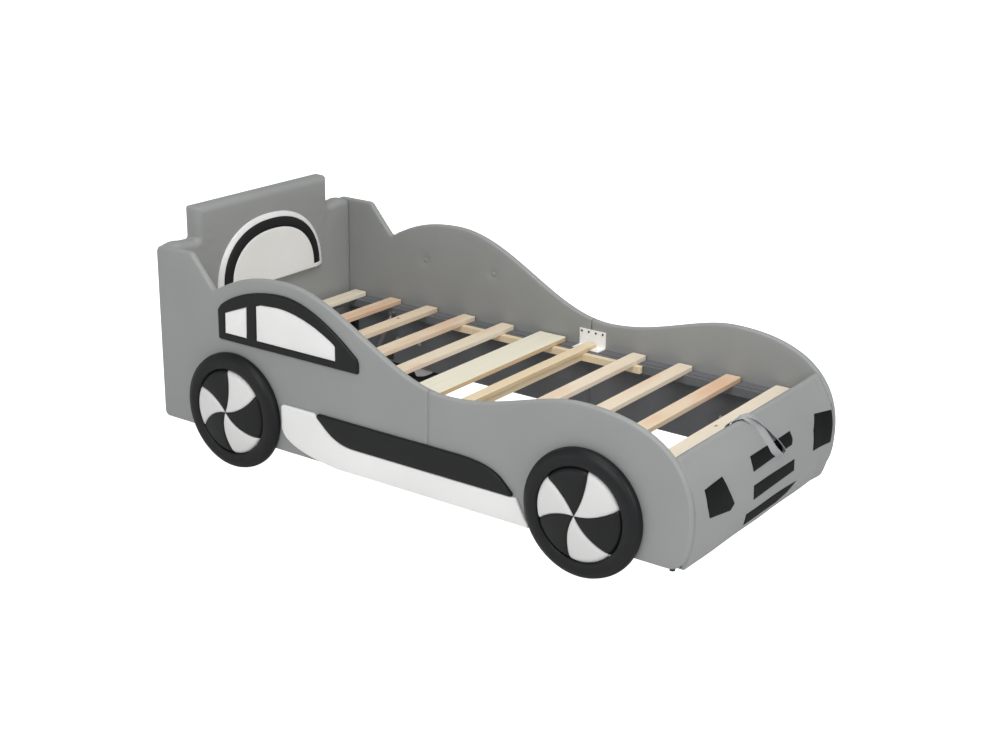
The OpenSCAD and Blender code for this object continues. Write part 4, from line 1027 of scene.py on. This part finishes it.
def end_tree(tree, geometry, material):
    real = built(tree, "RealizeInstances", {"Geometry": geometry})
    coated = built(tree, "SetMaterial", {"Geometry": real, "Material": material})
    add(tree, "NodeGroupOutput", {"Geometry": coated})


def grown(name, tree, start, **values):
    """The plain mesh that a Geometry Nodes tree makes from a starting mesh."""
    source = new_object(name, start)
    modifier = source.modifiers.new(name, "NODES")
    modifier.node_group = tree
    for item in tree.interface.items_tree:
        if item.in_out == "INPUT" and item.name in values:
            modifier[item.identifier] = values[item.name]
    depsgraph = bpy.context.evaluated_depsgraph_get()
    mesh = bpy.data.meshes.new_from_object(
        source.evaluated_get(depsgraph), preserve_all_data_layers=True, depsgraph=depsgraph
    )
    bpy.data.objects.remove(source)
    mesh.name = name
    return mesh


tree, given = geometry_tree(
    "boards", Width="Float", Length="Float", Thickness="Float", Corner="Float", Wood="Material"
)
outline = built(tree, "CurvePrimitiveQuadrilateral", {"Width": given["Width"], "Height": given["Length"]})
corners = built(tree, "FilletCurve", {"Curve": outline, "Radius": given["Corner"], "Count": 5}, mode="POLY")
foot = built(tree, "FillCurve", {"Curve": corners}, mode="NGONS")
raised = built(tree, "ExtrudeMesh", {"Mesh": foot, "Offset Scale": given["Thickness"], "Individual": False})
board = add(tree, "GeometryNodeJoinGeometry", {0: raised})
tree.links.new(built(tree, "FlipFaces", {"Mesh": foot}), board.inputs[0])
closed = built(tree, "MergeByDistance", {"Geometry": board.outputs[0], "Distance": 1e-5})
laid = built(tree, "InstanceOnPoints", {"Points": given["Geometry"], "Instance": closed})
end_tree(tree, laid, given["Wood"])

pine = wood("sawn_pine", "#f1e9d6", "#e7d4b8", "#e3ba9c", "#c9a681", KNOTS)
middles = bpy.data.meshes.new("slat_middles")
middles.from_pydata([(x, 0, SLAT_UNDER) for x, tone in SLATS], [], [])
middles.attributes.new("tone", "FLOAT", "POINT").data.foreach_set("value", [tone for x, tone in SLATS])
mesh = grown("pine_slats", tree, middles, Width=SLAT_W, Length=2 * SLAT_HALF, Thickness=SLAT_T,
             Corner=SLAT_CORNER, Wood=pine)
slats = piece_of(mesh, "platform", ["slats"])
bevel = slats.modifiers.new("softened_edges", "BEVEL")
bevel.width, bevel.segments = SLAT_EDGE, 2
bevel.limit_method, bevel.angle_limit = "ANGLE", math.radians(50)


# Wide board, centre beam and joists
# A pale veneered board hides the joint of the side panels; next to it a pine beam spans the bed on
# the two white angles. Two pine joists run beneath the middle slats.
PLY = 0.0036


def veneered(name):
    """Rotary-cut birch on a plywood core: a pale, even face and tan edges with thin glue lines."""
    material, tree, place = surface(name)
    along = stretched(tree, place, 1, 0.05, 1)
    figure = noise(tree, along, 60, 4, Distortion=0.6)
    fibre = noise(tree, along, 700, 3)
    layer = maths(tree, "PINGPONG", add(tree, "ShaderNodeSeparateXYZ", {"Vector": place}).outputs["Z"], PLY)
    side = mixed(tree, ranged(tree, layer, 0, PLY * 0.22, 0.75, 0), "#dcc29a", "#a98759")
    top = mixed(tree, figure, "#f0ecdc", "#e4dec4")
    normal = add(tree, "ShaderNodeNewGeometry").outputs["True Normal"]
    upright = add(tree, "ShaderNodeSeparateXYZ", {"Vector": normal}).outputs["Z"]
    flat = maths(tree, "GREATER_THAN", maths(tree, "ABSOLUTE", upright), 0.8)
    return finished(material, tree, {
        "Base Color": mixed(tree, flat, side, top),
        "Roughness": maths(tree, "MULTIPLY_ADD", fibre, 0.2, 0.45),
        "Normal": bumped(tree, fibre, 0.12, 0.0004),
    })


finish_nodes(veneered("birch_veneer"), "wide_board")
finish_nodes(wood("beam_pine", "#ead9b8", "#ead9b8", "#dfc19a", "#c7a578"), "centre_beam", "joists")


# Boards inside the padding
# Particle board: pressed chips in glue, brown and speckled. Nothing shows of it outside.
material, tree, place = surface("particle_board")
chips = add(tree, "ShaderNodeTexVoronoi", {"Vector": place, "Scale": 260}).outputs["Distance"]
particle_board = finished(material, tree, {
    "Base Color": mixed(tree, chips, "#a98a62", "#d0b48a"), "Roughness": 0.85,
})
finish_nodes(particle_board, "headboard_panel")
BOARD_INSET, BOARD_DEPTHS, BOARD_STEP = 0.006, ((0.0055, 0), (0.0195, 0)), 0.05
CORE_INSET, CORE_HALF = 0.005, NOSE_HALF - 0.009
for side in ("right", "left"):
    for end in ("rear", "front"):
        points, faces = pad_mesh(lambda d: [half_ring(BOARD_INSET + d, end)], BOARD_DEPTHS, BOARD_STEP)
        make_piece(f"panel_board_{side}_{end}", *against_side(side, points, faces, INNER_Y), particle_board,
                   f"side_board_{side}_{end}", "board")
points, faces = swept(inset(nose_profile, CORE_INSET), (-CORE_HALF, CORE_HALF))
make_piece("nose_core", points, faces, particle_board, "nose_frame", "board")


# Metal parts
# White enamelled angles at the panels' seam, black ones in the corners, a grey powder-coated lift
# frame, gas struts with grey cylinders and chromed rods, and zinc-plated bolts.
def metal(name, colour, roughness, grain, metallic=0.0, bump=0.05, coat=0.0):
    """A coated or plated steel; grain is the size of its orange peel or spangle, in metres."""
    material, tree, place = surface(name)
    wear = noise(tree, place, 22, 5)
    return finished(material, tree, {
        "Base Color": linear(colour), "Metallic": metallic, "Coat Weight": coat,
        "Roughness": maths(tree, "MULTIPLY_ADD", wear, 0.18, roughness - 0.09),
        "Normal": bumped(tree, noise(tree, place, 1 / grain, 3), bump, 0.0005),
    })


white_enamel = metal("white_enamelled_steel", "#fbfbfa", 0.32, 0.0015, coat=0.3)
black_enamel = metal("black_enamelled_steel", "#202124", 0.38, 0.0015)
powder_coat = metal("powder_coated_steel", "#66686b", 0.50, 0.0012, bump=0.12)
zinc_plate = metal("zinc_plated_steel", "#b9bbbd", 0.35, 0.003, metallic=1.0)
chrome_rod = metal("chromed_steel", "#d8d9da", 0.12, 0.002, metallic=1.0, bump=0.01)
finish_nodes(white_enamel, "seam_brackets")
finish_nodes(black_enamel, "corner_brackets", "hinge_plate_right", "hinge_plate_left", "strut_base_right",
             "strut_base_left")
finish_nodes(powder_coat, "platform_frame", "strut_cylinder_right", "strut_cylinder_left")
finish_nodes(chrome_rod, "strut_rod_right", "strut_rod_left")
finish_nodes(zinc_plate, "wheel_bolts", "slat_screws")
finish_nodes(metal("moulded_nylon", "#2a2a2b", 0.55, 0.001), "nose_glides")


# Screw heads
# Blackened pan-head screws hold the brackets, ledgers and hinge plates; a cross is pressed in each head.
SCREW_HEAD_R, SCREW_HEAD_H, SCREW_CROWN, SCREW_SLOT = 0.0045, 0.0020, 0.62, 0.0009
CORNER_SCREW_Z = (0.205, 0.235)
# Place along the bed, height, and the head's seat inside the panel's inner face
PANEL_SCREWS = (
    [(x, 0.416, 0.003) for x in (0.085, 0.115, 0.145, 0.175)]
    + [(x, 0.3495, 0.050) for x in (-0.900, -0.520, -0.200, 0.420, 0.800)]
    + [(x, z, 0.003) for x in (-1.002, 0.955) for z in CORNER_SCREW_Z]
    + [(x, 0.144, 0.004) for x in (-0.856, -0.816)]
)
seats, axes = [], []
for sign in (-1, 1):
    for x, z, seat in PANEL_SCREWS:
        seats.append((x, sign * (INNER_Y - seat), z))
        axes.append((0, -sign, 0))
    for z in CORNER_SCREW_Z:
        seats += [(x, sign * (INNER_Y - 0.028), z) for x in (HEAD_FACE_X + 0.003, NOSE_INNER_X - 0.003)]
        axes += [(1, 0, 0), (-1, 0, 0)]


def pointed(name, places, directions):
    """Loose points that carry the direction in which each copy stands."""
    mesh = bpy.data.meshes.new(name)
    mesh.from_pydata([tuple(p) for p in places], [], [])
    axis = mesh.attributes.new("axis", "FLOAT_VECTOR", "POINT")
    axis.data.foreach_set("vector", np.array(directions, float).ravel())
    return mesh


def stood(tree, given, shape):
    """Copies a shape to every point, with its Z along the point's direction."""
    axis = built(tree, "InputNamedAttribute", {"Name": "axis"}, data_type="FLOAT_VECTOR")
    turn = add(tree, "FunctionNodeAlignRotationToVector", {"Vector": axis}).outputs["Rotation"]
    laid = built(tree, "InstanceOnPoints", {"Points": given["Geometry"], "Instance": shape, "Rotation": turn})
    end_tree(tree, laid, given["Finish"])


tree, given = geometry_tree("screw_heads", Radius="Float", Height="Float", Finish="Material")
dome = built(tree, "MeshCone", {
    "Vertices": 20, "Side Segments": 1, "Radius Top": maths(tree, "MULTIPLY", given["Radius"], SCREW_CROWN),
    "Radius Bottom": given["Radius"], "Depth": given["Height"],
})
arm = add(tree, "ShaderNodeCombineXYZ", {"X": given["Radius"], "Y": SCREW_SLOT, "Z": given["Height"]})
slot = built(tree, "MeshCube", {"Size": arm.outputs[0]})
sunk = add(tree, "ShaderNodeCombineXYZ", {"Z": given["Height"]}).outputs[0]
first, second = (
    built(tree, "Transform", {"Geometry": slot, "Translation": sunk, "Rotation": (0, 0, turn)})
    for turn in (0, math.pi / 2)
)
cut = add(tree, "GeometryNodeMeshBoolean", {0: dome, 1: first}, operation="DIFFERENCE", solver="EXACT")
tree.links.new(second, cut.inputs[1])
stood(tree, given, cut.outputs[0])
blackened = metal("blackened_steel", "#4a4b4d", 0.42, 0.0010, metallic=0.6)
mesh = grown("screw_heads", tree, pointed("screw_seats", seats, axes), Radius=SCREW_HEAD_R,
             Height=SCREW_HEAD_H, Finish=blackened)
piece_of(mesh, "frame", ["frame_screws"])


# Pull strap
# A loop of grey polyester webbing sewn under the last slat, for lifting the platform. It comes up behind
# the nose's crest and hangs down its front: one leg lies flat, the other comes back on its edge.
STRAP_W, STRAP_T = 0.030, 0.0020
# A herringbone of ribs runs across the webbing; real ribs are 0.8 mm apart, and are drawn wider
RIB = 0.0016
# Middle of the webbing, and the way its width points
STRAP_ROUTE = np.array((
    (0.930, -0.091, 0.3600, 0, 1, 0),
    (0.957, -0.091, 0.3605, 0, 1, 0),
    (0.972, -0.090, 0.380, 0, 1, 0),
    (0.977, -0.089, 0.408, 0, 1, 0),
    (0.986, -0.087, 0.4300, 0, 1, 0),
    (1.000, -0.082, 0.4415, 0, 1, 0),
    (1.0125, -0.072, 0.4485, 0, 1, 0),
    (1.0215, -0.058, 0.4500, 0.05, 0.98, 0.10),
    (1.034, -0.039, 0.4435, 0.15, 0.94, 0.25),
    (1.0476, -0.0119, 0.4223, 0.25, 0.89, 0.38),
    (1.0663, 0.0001, 0.3902, 0.25, 0.89, 0.38),
    (1.0802, 0.0149, 0.3583, 0.28, 0.87, 0.38),
    (1.0919, 0.034, 0.3257, 0.45, 0.75, 0.40),
    (1.0978, 0.0632, 0.304, 0.85, 0.30, 0.40),
    (1.0986, 0.0898, 0.3139, 0.62, -0.62, 0.36),
    (1.0891, 0.0714, 0.3449, 0.54, -0.76, 0.34),
    (1.0755, 0.044, 0.3759, 0.54, -0.76, 0.34),
    (1.0582, 0.0169, 0.4065, 0.54, -0.76, 0.34),
    (1.0400, -0.014, 0.4390, 0.35, -0.88, 0.25),
    (1.0240, -0.033, 0.4510, 0.10, -1, 0),
    (1.0080, -0.043, 0.4480, 0, -1, 0),
    (0.9930, -0.049, 0.4365, 0, -1, 0),
    (0.980, -0.053, 0.410, 0, -1, 0),
    (0.972, -0.056, 0.378, 0, -1, 0),
    (0.957, -0.058, 0.3625, 0, -1, 0),
    (0.930, -0.058, 0.3600, 0, -1, 0),
))


def smooth_through(points, count=8):
    """A smooth line through all of the points."""
    p = np.array(points, float)
    p = np.concatenate([[2 * p[0] - p[1]], p, [2 * p[-1] - p[-2]]])
    out, t = [], (np.arange(count) / count)[:, None]
    for a, b, c, d in zip(p, p[1:], p[2:], p[3:]):
        bend, twist = 2 * a - 5 * b + 4 * c - d, 3 * b - a - 3 * c + d
        out.append(0.5 * (2 * b + (c - a) * t + bend * t**2 + twist * t**3))
    return np.concatenate(out + [p[-2:-1]])


middle = smooth_through(STRAP_ROUTE[:, :3])
across = smooth_through(STRAP_ROUTE[:, 3:])
along = np.gradient(middle, axis=0)
along /= np.linalg.norm(along, axis=1)[:, None]
across -= (across * along).sum(1)[:, None] * along
across /= np.linalg.norm(across, axis=1)[:, None]
out_of = np.cross(along, across)
length_at = np.concatenate([[0], np.cumsum(np.linalg.norm(np.diff(middle, axis=0), axis=1))])

# Half section of the webbing: across its width and through its thickness
STRAP_SECTION = np.array(
    [(x, 0.5) for x in np.linspace(-0.46, 0.46, 9)] + [(0.5, 0.2), (0.5, -0.2)]
    + [(x, -0.5) for x in np.linspace(0.46, -0.46, 9)] + [(-0.5, -0.2), (-0.5, 0.2)]
) * (STRAP_W, STRAP_T)
points, faces, n = [], [], len(STRAP_SECTION)
for k in range(len(middle)):
    points += [middle[k] + across[k] * u + out_of[k] * v for u, v in STRAP_SECTION]
    if k:
        faces += bridged((k - 1) * n, k * n, n)
faces += [tuple(reversed(range(n))), tuple((len(middle) - 1) * n + i for i in range(n))]

material, tree = new_material("polyester_webbing")
place = add(tree, "ShaderNodeUVMap", uv_map="weave").outputs["UV"]
apart = add(tree, "ShaderNodeSeparateXYZ", {"Vector": place}).outputs
lean = maths(tree, "ADD", apart["X"], maths(tree, "PINGPONG", apart["Y"], STRAP_W / 6))
ribs = waves(tree, add(tree, "ShaderNodeCombineXYZ", {"X": lean}).outputs[0], RIB, 0.4)
fuzzy = maths(tree, "MULTIPLY", ribs, noise(tree, place, 900, 3))
grey_webbing = finished(material, tree, {
    "Base Color": mixed(tree, fuzzy, "#97999b", "#c2c3c4"), "Roughness": 0.75, "Sheen Weight": 0.1,
    "Normal": bumped(tree, ribs, 0.5, 0.0005),
})
mesh = mesh_of("pull_strap_webbing", points, faces, grey_webbing)
weave = mesh.uv_layers.new(name="weave").data
for corner in mesh.loops:
    ring, spot = divmod(corner.vertex_index, n)
    weave[corner.index].uv = (length_at[ring], STRAP_SECTION[spot][0])
piece_of(mesh, "platform", ["pull_strap"])

# Lock stitches along both edges of the webbing
STITCH_STEP, STITCH_THREAD, STITCH_EDGE = 0.0045, 0.0007, 0.0035
places, ways = [], []
for s in np.arange(0.004, length_at[-1] - 0.004, STITCH_STEP):
    here, way, side_way, off = (
        np.array([np.interp(s, length_at, column) for column in field.T])
        for field in (middle, along, across, out_of)
    )
    for edge in (-1, 1):
        for face in (-1, 1):
            places.append(here + side_way * edge * (STRAP_W / 2 - STITCH_EDGE) + off * face * STRAP_T / 2)
            ways.append(way)
tree, given = geometry_tree("stitches", Thread="Float", Length="Float", Finish="Material")
stitch = built(tree, "MeshCylinder", {
    "Vertices": 6, "Side Segments": 1, "Fill Segments": 1, "Depth": given["Length"],
    "Radius": maths(tree, "MULTIPLY", given["Thread"], 0.5),
})
stood(tree, given, stitch)
thread = metal("polyester_thread", "#8c8d8e", 0.7, 0.0008)
mesh = grown("strap_stitches", tree, pointed("stitch_places", places, ways), Thread=STITCH_THREAD,
             Length=STITCH_STEP * 0.72, Finish=thread)
piece_of(mesh, "platform", [])
